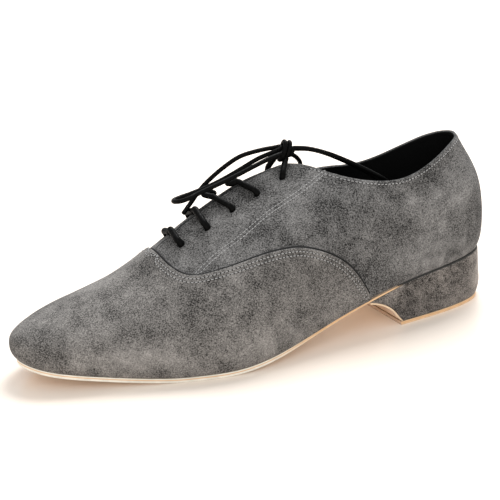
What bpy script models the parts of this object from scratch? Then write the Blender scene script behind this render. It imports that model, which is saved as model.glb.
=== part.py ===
"""Left shoe for Argentine tango: a suede oxford on a thin leather sole with a low covered heel.

Run with: blender --background --python part.py
The shoe is worked out in millimetres with x from the back of the heel towards the toe, y towards the
wearer's left (the outer side of this left shoe) and z up from the floor. An empty then carries every
piece to the part's own frame, in metres, with the origin on the floor under the middle of the shoe.
"""

import math

import bpy
import numpy as np

MM = 0.001

# Driving sizes
SOLE_THICKNESS = 2.6
SEAT_SOLE_THICKNESS = 0.9
SOLE_EDGE_OUT = 0.7
SEAT_GAP = 0.3
UPPER_WALL = 1.8
VAMP_THICKNESS = 1.0
VAMP_GAP = 0.4
INSOLE_THICKNESS = 1.6
INSOLE_INSET = 2.6
TONGUE_THICKNESS = 1.6
TONGUE_GAP = 0.5
TOP_PIECE_THICKNESS = 1.9
BREAST_COVER_THICKNESS = 1.0
LACE_RADIUS = 1.3
LACE_CLEARANCE = 0.5
EYELET_RADIUS = 2.0
EYELET_SIDES = 8

# The last, one row for each rib from the middle of the back round to the toe tip.
# Feather line: where the upper meets the sole, with the outer and the inner side of the foot apart.
# Bulge: how far the widest line of the wall stands outside the feather line, and how far above it.
# Top line: the collar, then the facing's edge, then the ridge of the closed vamp.
# Lean: the wall's angle from upright where it reaches the top line, in degrees, and how far it keeps it.
LAST_COLUMNS = (
    "feather_x", "feather_outer_y", "feather_inner_y", "feather_outer_z", "feather_inner_z",
    "bulge_out", "bulge_up", "top_x", "top_outer_y", "top_inner_y", "top_outer_z", "top_inner_z",
    "lean", "top_fullness",
)
LAST_ROWS = (
    (3.1, 0.0, 0.0, 29.9, 29.9, 3.6, 22.0, 14.8, 0.0, 0.0, 99.2, 99.2, 27.0, 0.42),
    (7.0, 11.5, 11.5, 29.7, 29.7, 3.6, 21.0, 17.4, 8.6, 8.6, 98.6, 98.0, 25.0, 0.42),
    (18.5, 20.5, 20.5, 29.0, 29.0, 3.4, 20.0, 26.4, 15.8, 15.8, 95.8, 95.0, 22.0, 0.42),
    (38.0, 27.0, 26.8, 27.6, 27.6, 3.0, 18.0, 43.0, 22.5, 22.5, 88.8, 87.9, 20.0, 0.42),
    (62.0, 31.0, 29.0, 25.3, 25.3, 2.5, 16.0, 65.0, 26.5, 26.0, 83.6, 82.0, 22.0, 0.40),
    (88.0, 34.7, 28.4, 20.8, 20.8, 2.0, 15.0, 87.0, 24.0, 22.0, 86.6, 84.6, 35.0, 0.36),
    (114.0, 39.0, 26.3, 14.9, 17.0, 1.8, 14.0, 104.0, 12.5, 9.0, 91.8, 88.6, 52.0, 0.32),
    (140.0, 45.5, 28.0, 8.9, 11.7, 1.8, 13.0, 119.0, 2.5, 2.5, 97.4, 96.2, 64.0, 0.30),
    (164.0, 51.8, 33.0, 4.9, 6.1, 2.0, 12.0, 146.0, 1.5, 1.5, 91.5, 91.5, 66.0, 0.28),
    (188.0, 52.0, 38.6, 2.6, 2.6, 2.2, 11.0, 175.0, 1.3, 1.3, 79.0, 79.0, 68.0, 0.26),
    (212.0, 46.0, 41.4, 2.8, 2.8, 2.4, 10.5, 205.0, 0.0, 0.0, 60.6, 60.6, 78.0, 0.26),
    (234.0, 37.5, 38.8, 4.5, 4.5, 2.5, 10.0, 222.0, 0.0, 0.0, 49.8, 49.8, 84.0, 0.30),
    (254.0, 29.5, 32.4, 7.0, 7.0, 2.6, 9.5, 238.0, 0.0, 0.0, 43.8, 43.8, 88.0, 0.36),
    (270.0, 22.2, 24.8, 9.4, 9.4, 2.6, 9.0, 250.0, 0.0, 0.0, 40.1, 40.1, 90.0, 0.40),
    (281.0, 13.0, 14.6, 11.7, 11.7, 2.6, 8.5, 257.0, 0.0, 0.0, 37.4, 37.4, 90.0, 0.42),
    (286.3, 0.0, 0.0, 13.4, 13.4, 2.6, 8.5, 257.0, 0.0, 0.0, 37.4, 37.4, 90.0, 0.42),
)
TOE_ROW = len(LAST_ROWS) - 1
RIDGE_EASE = (6.5, 8.5)
FOREFOOT_FLOOR = SOLE_THICKNESS + SEAT_GAP
POLE_SLOPE = -0.42

# Shape of a rib: where the bulge lies along it, and how full it is above the bulge.
BULGE_SHARE = 0.18
RISE_FULLNESS = 0.52
# Below the bulge: how far the wall goes out and up from the sole, and how long it comes up to the bulge.
FOOT_OUT = 0.7
FOOT_UP = 0.25
BULGE_FULLNESS = 0.45

# Where ribs and levels are cut. The eyelets, from the toe up, lie on ribs of their own, each at its own share
# of the rib; the level that holds them and its neighbours rise and fall with them.
EYELETS = ((9.5, 0.863), (9.0, 0.850), (8.45, 0.863), (7.90, 0.875), (7.32, 0.908))
EYELET_ROWS = tuple(row for row, share in EYELETS)
EYELET_MARGIN = 0.27
EYELET_LEVEL = 11
LEVEL_RAISE_FROM = 0.5
LEVELS = (0.0, 0.09, 0.18, 0.26, 0.34, 0.42, 0.50, 0.58, 0.66, 0.73, 0.80, 0.87, 0.94, 1.0)
BACK_RIBS = (0.0, 0.33, 0.67, 1.0, 1.33, 1.67, 2.0, 2.5, 3.0, 3.5, 4.0, 4.5, 5.0, 5.5, 6.0, 6.5)
TOE_RIBS = (10.0, 10.5, 11.0, 11.5, 12.0, 12.5, 13.0, 13.33, 13.67, 14.0, 14.33, 14.67, 15.0)

# The vamp's edge on each side, from the end of its wing to the throat: rib row and share of the rib.
VAMP_SEAM = (
    (5.10, 0.000), (5.22, 0.080), (5.35, 0.163), (5.60, 0.275), (5.90, 0.360), (6.30, 0.428),
    (6.65, 0.460), (7.00, 0.488), (7.45, 0.515), (7.90, 0.538), (8.35, 0.552), (8.75, 0.565),
    (9.15, 0.588), (9.40, 0.610), (9.60, 0.655), (9.78, 0.740), (9.90, 0.840), (10.0, 1.000),
)
VAMP_STEPS = 9

# The heel's breast, a hollow curve in the side view: share of the heel's height and place along the shoe.
BREAST = (
    (0.00, 68.6), (0.12, 70.6), (0.28, 73.0), (0.44, 75.6),
    (0.60, 79.0), (0.76, 83.2), (0.90, 87.6), (1.00, 91.0),
)
HEEL_STEPS = 9
HEEL_REAR_FLARE = 1.2
HEEL_REAR_TUCK = 3.0
HEEL_TUCK_BELOW = 0.30
HEEL_REAR_NARROWING = 0.05
SOLE_SKIVE = (58.0, 190.0)
TONGUE_ROWS = (7.05, 7.32, 7.61, 7.90, 8.175, 8.45, 8.725, 9.0, 9.25, 9.5, 9.77, 10.0, 10.4, 10.8)
TONGUE_SHARES = (0.76, 0.82, 0.88, 0.94, 1.0)
WAIST_RIBS = (7.0, 7.5, 8.0, 8.5, 9.0, 9.5)
FOOT_CELLS = 4
HALF_WAY_ROW = 7.0
HALVINGS = 40

# The lace's bars from the toe up: the eyelet pair, how many ribs it has gone to the toe at the outer facing's
# edge, and where its slack goes from there to the inner eyelet. A bar without slack goes straight over.
BARS = (
    (0, 0.05, ()),
    (1, 0.09, ()),
    (2, 0.30, (
        (170.6, 0.9, 85.7), (172.5, -0.9, 86.2), (171.7, -3.1, 86.1), (168.2, -4.6, 86.2),
        (164.6, -6.8, 84.6),
    )),
    (3, 0.35, (
        (156.0, 0.4, 90.4), (157.7, -1.3, 90.2), (157.0, -3.6, 89.7), (154.0, -5.8, 89.4),
        (150.8, -8.0, 88.7),
    )),
)
# How a strand comes out of an eyelet: the way it has gone along the facing, and its height over it.
STRAND_START = ((0.0, 0.5), (1.2, 1.7), (2.6, 2.45))
STRAND_HEIGHT = LACE_RADIUS + LACE_CLEARANCE
FACING_SHARES = (0.94, 1.0)
KNOT_CENTRE = (122.8, 0.0, 105.0)
KNOT_RADII = (4.6, 4.6, 5.2)
KNOT_TURNS = 12
KNOT_RISES = 8
RISER_TIPS = ((123.6, 2.1, 100.0), (127.0, -3.2, 100.9))

# Routes of the bow's free strands, from the knot and, for a loop, back to it.
CORD_SPACING = 7.0
BAR_SPACING = 3.4
CORD_ROUTES = {
    "lace_end_outer": (
        (127.4, -2.4, 105.9), (135.0, -3.0, 105.6), (143.6, -3.6, 104.7), (149.2, -4.5, 103.2),
        (154.6, -6.0, 100.2), (162.4, -8.0, 94.7), (170.3, -9.4, 88.1), (178.2, -7.0, 81.5),
        (184.8, -3.2, 77.1),
    ),
    "lace_end_inner": (
        (120.5, -3.1, 101.3), (114.2, -6.0, 98.0), (109.8, -8.8, 93.2), (108.5, -12.2, 88.6),
        (108.1, -15.7, 84.9), (107.5, -18.9, 81.2), (106.6, -21.8, 77.4), (105.4, -24.6, 73.4),
        (103.9, -26.9, 69.4), (102.0, -28.7, 65.3), (99.9, -30.2, 61.2), (98.8, -31.0, 57.1),
    ),
    "lace_loop_front": (
        (126.4, 2.9, 103.2), (134.0, 4.4, 102.2), (143.9, 5.5, 99.7), (156.8, 6.2, 95.9),
        (172.3, 6.5, 91.7), (180.3, 6.5, 89.5), (184.2, 7.2, 88.5), (189.1, 5.6, 87.0),
        (191.2, 0.5, 85.8), (189.1, -4.6, 85.2), (184.2, -6.4, 85.6), (178.6, -6.2, 86.6),
        (168.0, -5.2, 89.3), (158.0, -4.6, 92.6), (148.4, -4.0, 96.5), (138.2, -2.4, 101.2),
        (127.8, 0.2, 104.6),
    ),
    "lace_loop_back": (
        (117.9, 1.9, 105.0), (112.0, 3.4, 104.2), (105.5, 4.4, 102.2), (96.2, 5.0, 98.2),
        (83.7, 5.5, 91.4), (73.2, 6.2, 85.0), (66.6, 6.7, 80.7), (62.3, 4.9, 77.6),
        (60.6, 0.0, 76.1), (62.3, -4.9, 76.7), (66.6, -6.7, 79.8), (73.2, -6.2, 84.2),
        (82.7, -5.3, 90.0), (95.6, -4.6, 97.0), (106.4, -3.5, 101.3), (117.9, -2.1, 103.6),
    ),
}


def periodic_tangents(values):
    """Slopes at equal steps of a closed smooth curve through the values."""
    count = len(values)
    step = np.eye(count)
    system = 4 * step + np.roll(step, 1, axis=1) + np.roll(step, -1, axis=1)
    return np.linalg.solve(system, 3 * (np.roll(values, -1) - np.roll(values, 1)))


def level_tangents(values):
    """Slopes at equal steps of a closed curve that never passes beyond its values."""
    after = np.roll(values, -1) - values
    before = np.roll(after, 1)
    same_way = after * before > 0
    total = np.where(same_way, after + before, 1.0)
    return np.where(same_way, 2 * after * before / total, 0.0)


class Line:
    """A closed curve through values at whole numbers, from its slopes there."""

    def __init__(self, values, tangents):
        self.values = np.array(values, float)
        self.slopes = tangents(self.values)

    def __call__(self, at):
        whole = math.floor(at)
        part = at - whole
        i, j = whole % len(self.values), (whole + 1) % len(self.values)
        a, b = self.values[i], self.values[j]
        p, q = self.slopes[i], self.slopes[j]
        far = part * part * (3 - 2 * part)
        return (
            a + (b - a) * far
            + p * part * (1 - part) ** 2
            - q * part * part * (1 - part)
        )


def column(name):
    return [row[LAST_COLUMNS.index(name)] for row in LAST_ROWS]


def round_the_shoe(outer, inner):
    """Values for the outer side from the back to the toe, then for the inner side back again."""
    return list(outer) + list(inner[-2:0:-1])


def both_sides(name):
    return round_the_shoe(column(name), column(name))


FEATHER_X = Line(both_sides("feather_x"), periodic_tangents)
FEATHER_Y = Line(
    round_the_shoe(column("feather_outer_y"), [-y for y in column("feather_inner_y")]), periodic_tangents
)
FEATHER_Z = Line(round_the_shoe(column("feather_outer_z"), column("feather_inner_z")), periodic_tangents)
BULGE_OUT = Line(both_sides("bulge_out"), periodic_tangents)
BULGE_UP = Line(both_sides("bulge_up"), periodic_tangents)
TOP_X = Line(both_sides("top_x"), level_tangents)
TOP_Y = Line(round_the_shoe(column("top_outer_y"), [-y for y in column("top_inner_y")]), level_tangents)
TOP_Z = Line(round_the_shoe(column("top_outer_z"), column("top_inner_z")), level_tangents)
LEAN = Line(both_sides("lean"), level_tangents)
TOP_FULLNESS = Line(both_sides("top_fullness"), level_tangents)


def feather(rib):
    """Point of the feather line, never lower than lets the sole lie flat on the floor."""
    return np.array([FEATHER_X(rib), FEATHER_Y(rib), max(FEATHER_Z(rib), FOREFOOT_FLOOR)])


def outward(rib):
    """Unit vector in plan, away from the foot, at a rib's feather point."""
    small = 0.01
    ahead, behind = feather(rib + small), feather(rib - small)
    along = (ahead - behind)[:2]
    return np.array([along[1], -along[0], 0.0]) / -np.linalg.norm(along)


def bezier(a, b, c, d, t):
    s = 1 - t
    return a * s**3 + 3 * b * s * s * t + 3 * c * s * t * t + d * t**3


def eased(value, low, high):
    """Share from 0 to 1 of the way between two values, with a soft start and end."""
    part = min(max((value - low) / (high - low), 0.0), 1.0)
    return part * part * (3 - 2 * part)


def ridge_slope(rib):
    """Fall of the top line towards the toe, felt by ribs from the front of the collar on."""
    row = min(rib, 2 * TOE_ROW - rib)
    weight = eased(row, *RIDGE_EASE)
    if weight == 0.0:
        return 0.0
    small = 0.05
    run = TOP_X(row + small) - TOP_X(row - small)
    rise = TOP_Z(row + small) - TOP_Z(row - small)
    return weight * (rise / run if run > small else POLE_SLOPE)


def last(rib, share):
    """Point on the outside of the upper: rib counts rows round the shoe, share runs from sole to top."""
    up = np.array([0.0, 0.0, 1.0])
    low = feather(rib)
    wide = low + outward(rib) * BULGE_OUT(rib) + up * BULGE_UP(rib)
    if share <= BULGE_SHARE:
        rise = wide[2] - low[2]
        out = wide - low - up * rise
        first = low + out * FOOT_OUT + up * rise * FOOT_UP
        return bezier(low, first, wide - up * rise * BULGE_FULLNESS, wide, share / BULGE_SHARE)
    top = np.array([TOP_X(rib), TOP_Y(rib), TOP_Z(rib)])
    across = (wide - top) * np.array([1.0, 1.0, 0.0])
    reach = np.linalg.norm(wide - top)
    lean = math.radians(LEAN(rib))
    away = across / np.linalg.norm(across)
    handle = (away * math.sin(lean) - up * math.cos(lean)) * reach * TOP_FULLNESS(rib)
    handle[2] += ridge_slope(rib) * handle[0]
    full = up * (top[2] - wide[2]) * RISE_FULLNESS
    return bezier(wide, wide + full, top + handle, top, (share - BULGE_SHARE) / (1 - BULGE_SHARE))


# Pieces


class Skin:
    """A surface of shared points and of faces between them."""

    def __init__(self):
        self.points = []
        self.faces = []
        self.known = {}

    def point(self, place):
        """Number of the point at this place, new or already there."""
        key = tuple(np.round(place, 3) + 0.0)
        if key not in self.known:
            self.known[key] = len(self.points)
            self.points.append(np.array(place, float))
        return self.known[key]

    def face(self, *corners):
        """Add a face as triangles, with corners that fall on one point counted once."""
        kept = [c for i, c in enumerate(corners) if c != corners[i - 1]]
        if len(set(kept)) < 3:
            return
        if len(kept) == 3:
            self.faces.append(kept)
            return
        a, b, c, d = kept
        if self.distance(a, c) <= self.distance(b, d):
            self.faces += [[a, b, c], [a, c, d]]
        else:
            self.faces += [[a, b, d], [b, c, d]]

    def distance(self, a, b):
        return np.linalg.norm(self.points[a] - self.points[b])

    def grid(self, places):
        """Join rows of places with faces, so that a step along a row then to the next is left-handed."""
        numbers = [[self.point(place) for place in row] for row in places]
        for row, after in zip(numbers, numbers[1:]):
            for k in range(len(row) - 1):
                self.face(row[k], row[k + 1], after[k + 1], after[k])
        return numbers

    def normals(self):
        """Unit normal at every point, from the faces round it by their areas."""
        points = np.array(self.points)
        total = np.zeros_like(points)
        for face in self.faces:
            corners = points[face]
            area = np.cross(corners, np.roll(corners, -1, axis=0)).sum(axis=0)
            total[face] += area
        return total / np.linalg.norm(total, axis=1)[:, None]


def between(skin, over, under):
    """Points and faces of the closed body between a skin moved by one set of steps and by another."""
    points = np.array(skin.points)
    count = len(points)
    faces = [list(face) for face in skin.faces]
    faces += [[corner + count for corner in reversed(face)] for face in skin.faces]
    edges = {(a, b) for face in skin.faces for a, b in zip(face, face[1:] + face[:1])}
    faces += [[b, a, a + count, b + count] for a, b in sorted(edges) if (b, a) not in edges]
    return np.vstack([points + over, points + under]), faces


def other_side(row):
    return 2 * TOE_ROW - row


def full_round(half):
    """Ribs of both sides in order, from those of the outer side."""
    return list(half) + [other_side(row) for row in reversed(half[1:-1])] + [other_side(half[0])]


def upper_ribs():
    """Ribs of the outer side, with one through each eyelet and one half way to the next."""
    rows = EYELET_ROWS[::-1]
    half_way = [(row + after) / 2 for row, after in zip(rows, rows[1:])]
    facing = sorted([rows[0] - EYELET_MARGIN, *rows, *half_way, rows[-1] + EYELET_MARGIN])
    return list(BACK_RIBS) + facing + list(TOE_RIBS)


def raised(rib, share):
    """Share of a rib for a cut level, moved so that the eyelets' level passes through the eyelets."""
    level = LEVELS[EYELET_LEVEL]
    rows = [BACK_RIBS[-1], *EYELET_ROWS[::-1], TOE_RIBS[0]]
    shares = [level, *(at for row, at in reversed(EYELETS)), level]
    raise_here = np.interp(min(rib, other_side(rib)), rows, shares) - level
    if share < level:
        weight = max(0.0, (share - LEVEL_RAISE_FROM) / (level - LEVEL_RAISE_FROM))
    else:
        weight = (1 - share) / (1 - level)
    return share + raise_here * weight


def eyelet_ring(rib):
    """Eight places round an eyelet's edge, from the one towards the sole and then towards the toe."""
    share = raised(rib, LEVELS[EYELET_LEVEL])
    small = 0.01
    by_rib = np.linalg.norm(last(rib + small, share) - last(rib - small, share)) / (2 * small)
    by_share = np.linalg.norm(last(rib, share + small) - last(rib, share - small)) / (2 * small)
    ring = []
    for eighth in range(EYELET_SIDES):
        angle = math.tau * eighth / EYELET_SIDES
        along = EYELET_RADIUS * math.sin(angle) / by_rib
        up = EYELET_RADIUS * math.cos(angle) / by_share
        ring.append(last(rib + along, share - up))
    return ring


def upper_skin():
    """Outside of the upper, with an eyelet hole in place of each block of four faces about an eyelet."""
    skin = Skin()
    ribs = full_round(upper_ribs())
    numbers = skin.grid([[last(rib, raised(rib, share)) for share in LEVELS] for rib in ribs])
    for row in EYELET_ROWS:
        for rib in (row, other_side(row)):
            i = min(range(len(ribs)), key=lambda k: abs(ribs[k] - rib))
            j = EYELET_LEVEL
            steps = ((0, -1), (1, -1), (1, 0), (1, 1), (0, 1), (-1, 1), (-1, 0), (-1, -1))
            block = [numbers[i + di][j + dj] for di, dj in steps]
            inside = {numbers[i][j], *block}
            skin.faces = [face for face in skin.faces if not inside.issuperset(face)]
            ring = [skin.point(place) for place in eyelet_ring(rib)]
            for k in range(EYELET_SIDES):
                after = (k + 1) % EYELET_SIDES
                skin.face(block[k], ring[k], ring[after], block[after])
    return without_loose_points(skin)


def without_loose_points(skin):
    used = sorted({corner for face in skin.faces for corner in face})
    new_number = {old: new for new, old in enumerate(used)}
    kept = Skin()
    kept.points = [skin.points[old] for old in used]
    kept.faces = [[new_number[corner] for corner in face] for face in skin.faces]
    return kept


def upper_body():
    skin = upper_skin()
    return between(skin, 0.0, -UPPER_WALL * skin.normals())


def vamp_body():
    """The vamp, which lies over the quarters from wing to wing and is closed along the ridge."""
    rows = [row for row, share in VAMP_SEAM] + list(TOE_RIBS[1:])
    reach = [share for row, share in VAMP_SEAM] + [1.0] * (len(TOE_RIBS) - 1)
    skin = Skin()
    ribs = rows + [other_side(row) for row in reversed(rows[:-1])]
    shares = reach + list(reversed(reach[:-1]))
    parts = [k / VAMP_STEPS for k in range(VAMP_STEPS + 1)]
    numbers = skin.grid([[last(rib, share * part) for part in parts] for rib, share in zip(ribs, shares)])
    normals = skin.normals()
    normals[[row[0] for row in numbers], 2] = 0.0
    return between(skin, normals * (VAMP_GAP + VAMP_THICKNESS), normals * VAMP_GAP)


def tongue_body():
    """The tongue, under both facings and the front of the vamp."""
    rows = []
    for row in TONGUE_ROWS:
        near = [last(row, share) for share in TONGUE_SHARES]
        far = [last(other_side(row), share) for share in reversed(TONGUE_SHARES)]
        rows.append(near + far)
    skin = Skin()
    skin.grid(rows)
    normals = skin.normals()
    depth = UPPER_WALL + TONGUE_GAP
    return between(skin, -normals * depth, -normals * (depth + TONGUE_THICKNESS))


def foot_row(row, out):
    """Places across the foot at one row, on the feather lines moved out by this much."""
    far = other_side(row)
    near_edge = feather(row) + outward(row) * out
    far_edge = feather(far) + outward(far) * out
    return [near_edge + (far_edge - near_edge) * k / FOOT_CELLS for k in range(FOOT_CELLS + 1)]


def foot_skin(rows, out):
    skin = Skin()
    skin.grid([foot_row(row, out) for row in rows])
    return skin


def sole_thickness(x):
    """Thickness of the sole, skived thin where it lies over the heel."""
    return SEAT_SOLE_THICKNESS + (SOLE_THICKNESS - SEAT_SOLE_THICKNESS) * eased(x, *SOLE_SKIVE)


def lift(heights):
    return np.outer(heights, (0.0, 0.0, 1.0))


def foot_rows():
    return list(BACK_RIBS) + list(WAIST_RIBS) + list(TOE_RIBS)


def outsole_body():
    skin = foot_skin(foot_rows(), SOLE_EDGE_OUT)
    thickness = np.array([sole_thickness(place[0]) for place in skin.points])
    above = np.full(len(thickness), -SEAT_GAP)
    return between(skin, lift(above), lift(above - thickness))


def insole_body():
    skin = foot_skin(foot_rows(), -INSOLE_INSET)
    count = len(skin.points)
    return between(skin, lift(np.full(count, INSOLE_THICKNESS)), lift(np.zeros(count)))


def row_at(x):
    """Row of the outer feather line at a place along the shoe, in the back half."""
    low, high = 0.0, HALF_WAY_ROW
    for _ in range(HALVINGS):
        middle = (low + high) / 2
        if FEATHER_X(middle) < x:
            low = middle
        else:
            high = middle
    return low


def heel_ring(share, breast_x):
    """Places round the heel at a share of its height: the back, the outer side, then the inner side's."""
    base = TOP_PIECE_THICKNESS + SEAT_GAP
    tuck = HEEL_REAR_TUCK * max(0.0, 1 - share / HEEL_TUCK_BELOW) ** 2
    back = HEEL_REAR_FLARE * (1 - share) - tuck
    breast_row = row_at(breast_x)
    near, far = [], []
    for k in range(HEEL_STEPS + 1):
        row = breast_row * k / HEEL_STEPS
        rear = 1 - k / HEEL_STEPS
        for places, rib in ((near, row), (far, other_side(row))):
            x, y, z = feather(rib) + outward(rib) * SOLE_EDGE_OUT
            top = z - 2 * SEAT_GAP - sole_thickness(x)
            places.append(np.array([
                x - back * rear,
                y * (1 - HEEL_REAR_NARROWING * (1 - share) * rear),
                base + share * (top - base),
            ]))
    return near, far


def heel_body():
    """The heel block: rings up its height, ruled across at the seat, the floor end and the breast."""
    skin = Skin()
    rings = [heel_ring(share, x) for share, x in BREAST]
    around = [list(reversed(far)) + near[1:] for near, far in rings]
    skin.grid([list(level) for level in zip(*around)])
    for near, far, turned in ((*rings[0], False), (*rings[-1], True)):
        across = [[a, b] for a, b in zip(near, far)]
        skin.grid(list(reversed(across)) if not turned else across)
    skin.grid([[near[-1], far[-1]] for near, far in reversed(rings)])
    return np.array(skin.points), skin.faces


def top_piece_body():
    """The heel's lift, long enough to carry the end of the breast cover."""
    near, far = heel_ring(*BREAST[0])
    reach = np.array([BREAST_COVER_THICKNESS + 2 * SEAT_GAP, 0.0, 0.0])
    near = near + [near[-1] + reach]
    far = far + [far[-1] + reach]
    skin = Skin()
    skin.grid([[a * (1, 1, 0), b * (1, 1, 0)] for a, b in zip(near, far)])
    count = len(skin.points)
    return between(skin, lift(np.full(count, TOP_PIECE_THICKNESS)), lift(np.zeros(count)))


def breast_cover_body():
    """The thin leather that runs down the heel's breast from the sole to the top piece."""
    skin = Skin()
    rings = [heel_ring(share, x) for share, x in BREAST]
    skin.grid([[near[-1], far[-1]] for near, far in reversed(rings)])
    normals = skin.normals()
    points, faces = between(skin, normals * (SEAT_GAP + BREAST_COVER_THICKNESS), normals * SEAT_GAP)
    points[:, 2] = np.maximum(points[:, 2], TOP_PIECE_THICKNESS + SEAT_GAP)
    return points, faces


def surface_frame(rib, share):
    """Point on the last and its outward normal."""
    small = 0.01
    along = last(rib + small, share) - last(rib - small, share)
    up = last(rib, min(share + small, 1.0)) - last(rib, share - small)
    normal = np.cross(up, along)
    return last(rib, share), normal / np.linalg.norm(normal)


def strand_start(rib, target):
    """First places of a strand that comes out of the eyelet on this rib and turns towards a target."""
    place, normal = surface_frame(rib, raised(rib, LEVELS[EYELET_LEVEL]))
    ahead = target - place
    ahead -= normal * (ahead @ normal)
    ahead /= np.linalg.norm(ahead)
    return [place + ahead * way + normal * height for way, height in STRAND_START]


def over_facing(rib, lean):
    """A strand out of an eyelet and across the facing, to the edge that many ribs further on."""
    level = raised(rib, LEVELS[EYELET_LEVEL])
    places = strand_start(rib, last(rib + lean, 1.0))
    for share in FACING_SHARES:
        place, normal = surface_frame(rib + lean * (share - level) / (1 - level), share)
        places.append(place + normal * STRAND_HEIGHT)
    return places


def bar_route(eyelet, lean, slack):
    """A bar across the throat from the outer eyelet to the inner one."""
    row = EYELET_ROWS[eyelet]
    far_rib = other_side(row)
    near = over_facing(row, lean)
    if slack:
        loose = [np.array(place) for place in slack]
        return near + loose + strand_start(far_rib, loose[-1])[::-1]
    return near + over_facing(far_rib, -lean)[::-1]


def riser_route(side):
    """A strand from a top eyelet up to the knot: side 0 is the outer one."""
    rib = (EYELET_ROWS[-1], other_side(EYELET_ROWS[-1]))[side]
    tip = np.array(RISER_TIPS[side])
    return strand_start(rib, tip) + [tip]


def smooth(route, spacing):
    """Points on a smooth curve through a route, no further apart than the spacing."""
    route = np.array(route)
    slopes = np.gradient(route, axis=0)
    points = [route[0]]
    for k in range(len(route) - 1):
        a, b, p, q = route[k], route[k + 1], slopes[k], slopes[k + 1]
        count = max(1, math.ceil(np.linalg.norm(b - a) / spacing))
        for part in np.linspace(0.0, 1.0, count + 1)[1:]:
            near = (1 + 2 * part) * (1 - part) ** 2
            points.append(
                a * near + b * (1 - near)
                + p * part * (1 - part) ** 2 - q * part * part * (1 - part)
            )
    return points


def knot_body():
    """The bow's knot as one round solid."""
    skin = Skin()
    centre, radii = np.array(KNOT_CENTRE), np.array(KNOT_RADII)
    turns = np.linspace(0.0, math.tau, KNOT_TURNS + 1)
    rises = np.linspace(-math.pi / 2, math.pi / 2, KNOT_RISES + 1)
    skin.grid([
        [
            centre + radii * (
                math.cos(rise) * math.cos(turn), -math.cos(rise) * math.sin(turn), math.sin(rise)
            )
            for rise in rises
        ]
        for turn in turns
    ])
    return np.array(skin.points), skin.faces


def add_tube(name, route, spacing, holder):
    """Curve object of a strand of lace along a route."""
    curve = bpy.data.curves.new(name, "CURVE")
    curve.dimensions = "3D"
    curve.bevel_depth = LACE_RADIUS * MM
    curve.bevel_resolution = 2
    curve.use_fill_caps = True
    points = smooth(route, spacing)
    spline = curve.splines.new("POLY")
    spline.points.add(len(points) - 1)
    for target, place in zip(spline.points, points):
        target.co = (*(place * MM), 1.0)
    finish(bpy.data.objects.new(name, curve), name, BLACK, holder)


def add_body(name, body, colour, holder):
    """Mesh object of a closed body given in millimetres, with its own material."""
    points, faces = body
    mesh = bpy.data.meshes.new(name)
    mesh.from_pydata((np.array(points) * MM).tolist(), [], [list(map(int, face)) for face in faces])
    mesh.update()
    piece = bpy.data.objects.new(name, mesh)
    finish(piece, name, colour, holder)
    return piece


def finish(piece, name, colour, holder):
    bpy.context.collection.objects.link(piece)
    material = bpy.data.materials.new(name)
    material.use_nodes = True
    surface = material.node_tree.nodes["Principled BSDF"]
    surface.inputs["Base Color"].default_value = (*colour, 1.0)
    surface.inputs["Roughness"].default_value = ROUGHNESS
    piece.data.materials.append(material)
    piece.parent = holder


SUEDE = (0.16, 0.16, 0.165)
DARK_SUEDE = (0.09, 0.09, 0.092)
LEATHER = (0.62, 0.42, 0.28)
BLACK = (0.012, 0.012, 0.013)
ROUGHNESS = 0.8
PIECES = (
    ("outsole", outsole_body, LEATHER),
    ("heel", heel_body, DARK_SUEDE),
    ("top_piece", top_piece_body, LEATHER),
    ("breast_cover", breast_cover_body, LEATHER),
    ("insole", insole_body, BLACK),
    ("upper", upper_body, SUEDE),
    ("vamp", vamp_body, SUEDE),
    ("tongue", tongue_body, SUEDE),
)


def centre_in_plan(bodies):
    points = np.vstack([points for points, faces in bodies])
    middle = (points.min(axis=0) + points.max(axis=0)) / 2
    return middle * (1.0, 1.0, 0.0)


def main():
    for old in list(bpy.data.objects):
        bpy.data.objects.remove(old)
    holder = bpy.data.objects.new("shoe", None)
    bpy.context.collection.objects.link(holder)
    bodies = [make() for name, make, colour in PIECES]
    holder.location = -centre_in_plan(bodies) * MM
    for (name, make, colour), body in zip(PIECES, bodies):
        add_body(name, body, colour, holder)
    for number, bar in enumerate(BARS, start=1):
        add_tube(f"lace_bar_{number}", bar_route(*bar), BAR_SPACING, holder)
    for side, name in enumerate(("lace_riser_outer", "lace_riser_inner")):
        add_tube(name, riser_route(side), BAR_SPACING, holder)
    add_body("lace_knot", knot_body(), BLACK, holder)
    for name, route in CORD_ROUTES.items():
        add_tube(name, route, CORD_SPACING, holder)


main()
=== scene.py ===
"""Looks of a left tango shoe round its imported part: suede upper, leather sole, covered heel, tied lace.

The shoe's own sizes are in millimetres, with x from the back of the heel to the toe, y towards the wearer's
left, which is the outer side, and z up from the floor. Meshes are in the part's frame, in metres.
"""

import logging
import math
from abc import ABC, abstractmethod
from collections.abc import Sequence
from dataclasses import dataclass, field
from enum import IntEnum

import bmesh
import bpy
import numpy as np
from mathutils import Matrix
from mathutils.bvhtree import BVHTree


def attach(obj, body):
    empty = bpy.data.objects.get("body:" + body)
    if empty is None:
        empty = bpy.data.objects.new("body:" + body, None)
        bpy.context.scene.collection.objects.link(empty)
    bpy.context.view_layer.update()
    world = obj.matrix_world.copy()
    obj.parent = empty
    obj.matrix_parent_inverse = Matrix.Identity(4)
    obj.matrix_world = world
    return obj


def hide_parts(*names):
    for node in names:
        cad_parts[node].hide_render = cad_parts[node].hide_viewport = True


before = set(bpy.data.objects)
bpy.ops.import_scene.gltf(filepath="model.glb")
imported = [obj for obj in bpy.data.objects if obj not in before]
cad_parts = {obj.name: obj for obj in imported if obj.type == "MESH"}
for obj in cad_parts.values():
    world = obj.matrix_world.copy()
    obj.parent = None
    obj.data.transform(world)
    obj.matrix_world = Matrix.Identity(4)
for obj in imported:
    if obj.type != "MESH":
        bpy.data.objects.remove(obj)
log = logging.getLogger("tango_shoe")

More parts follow.
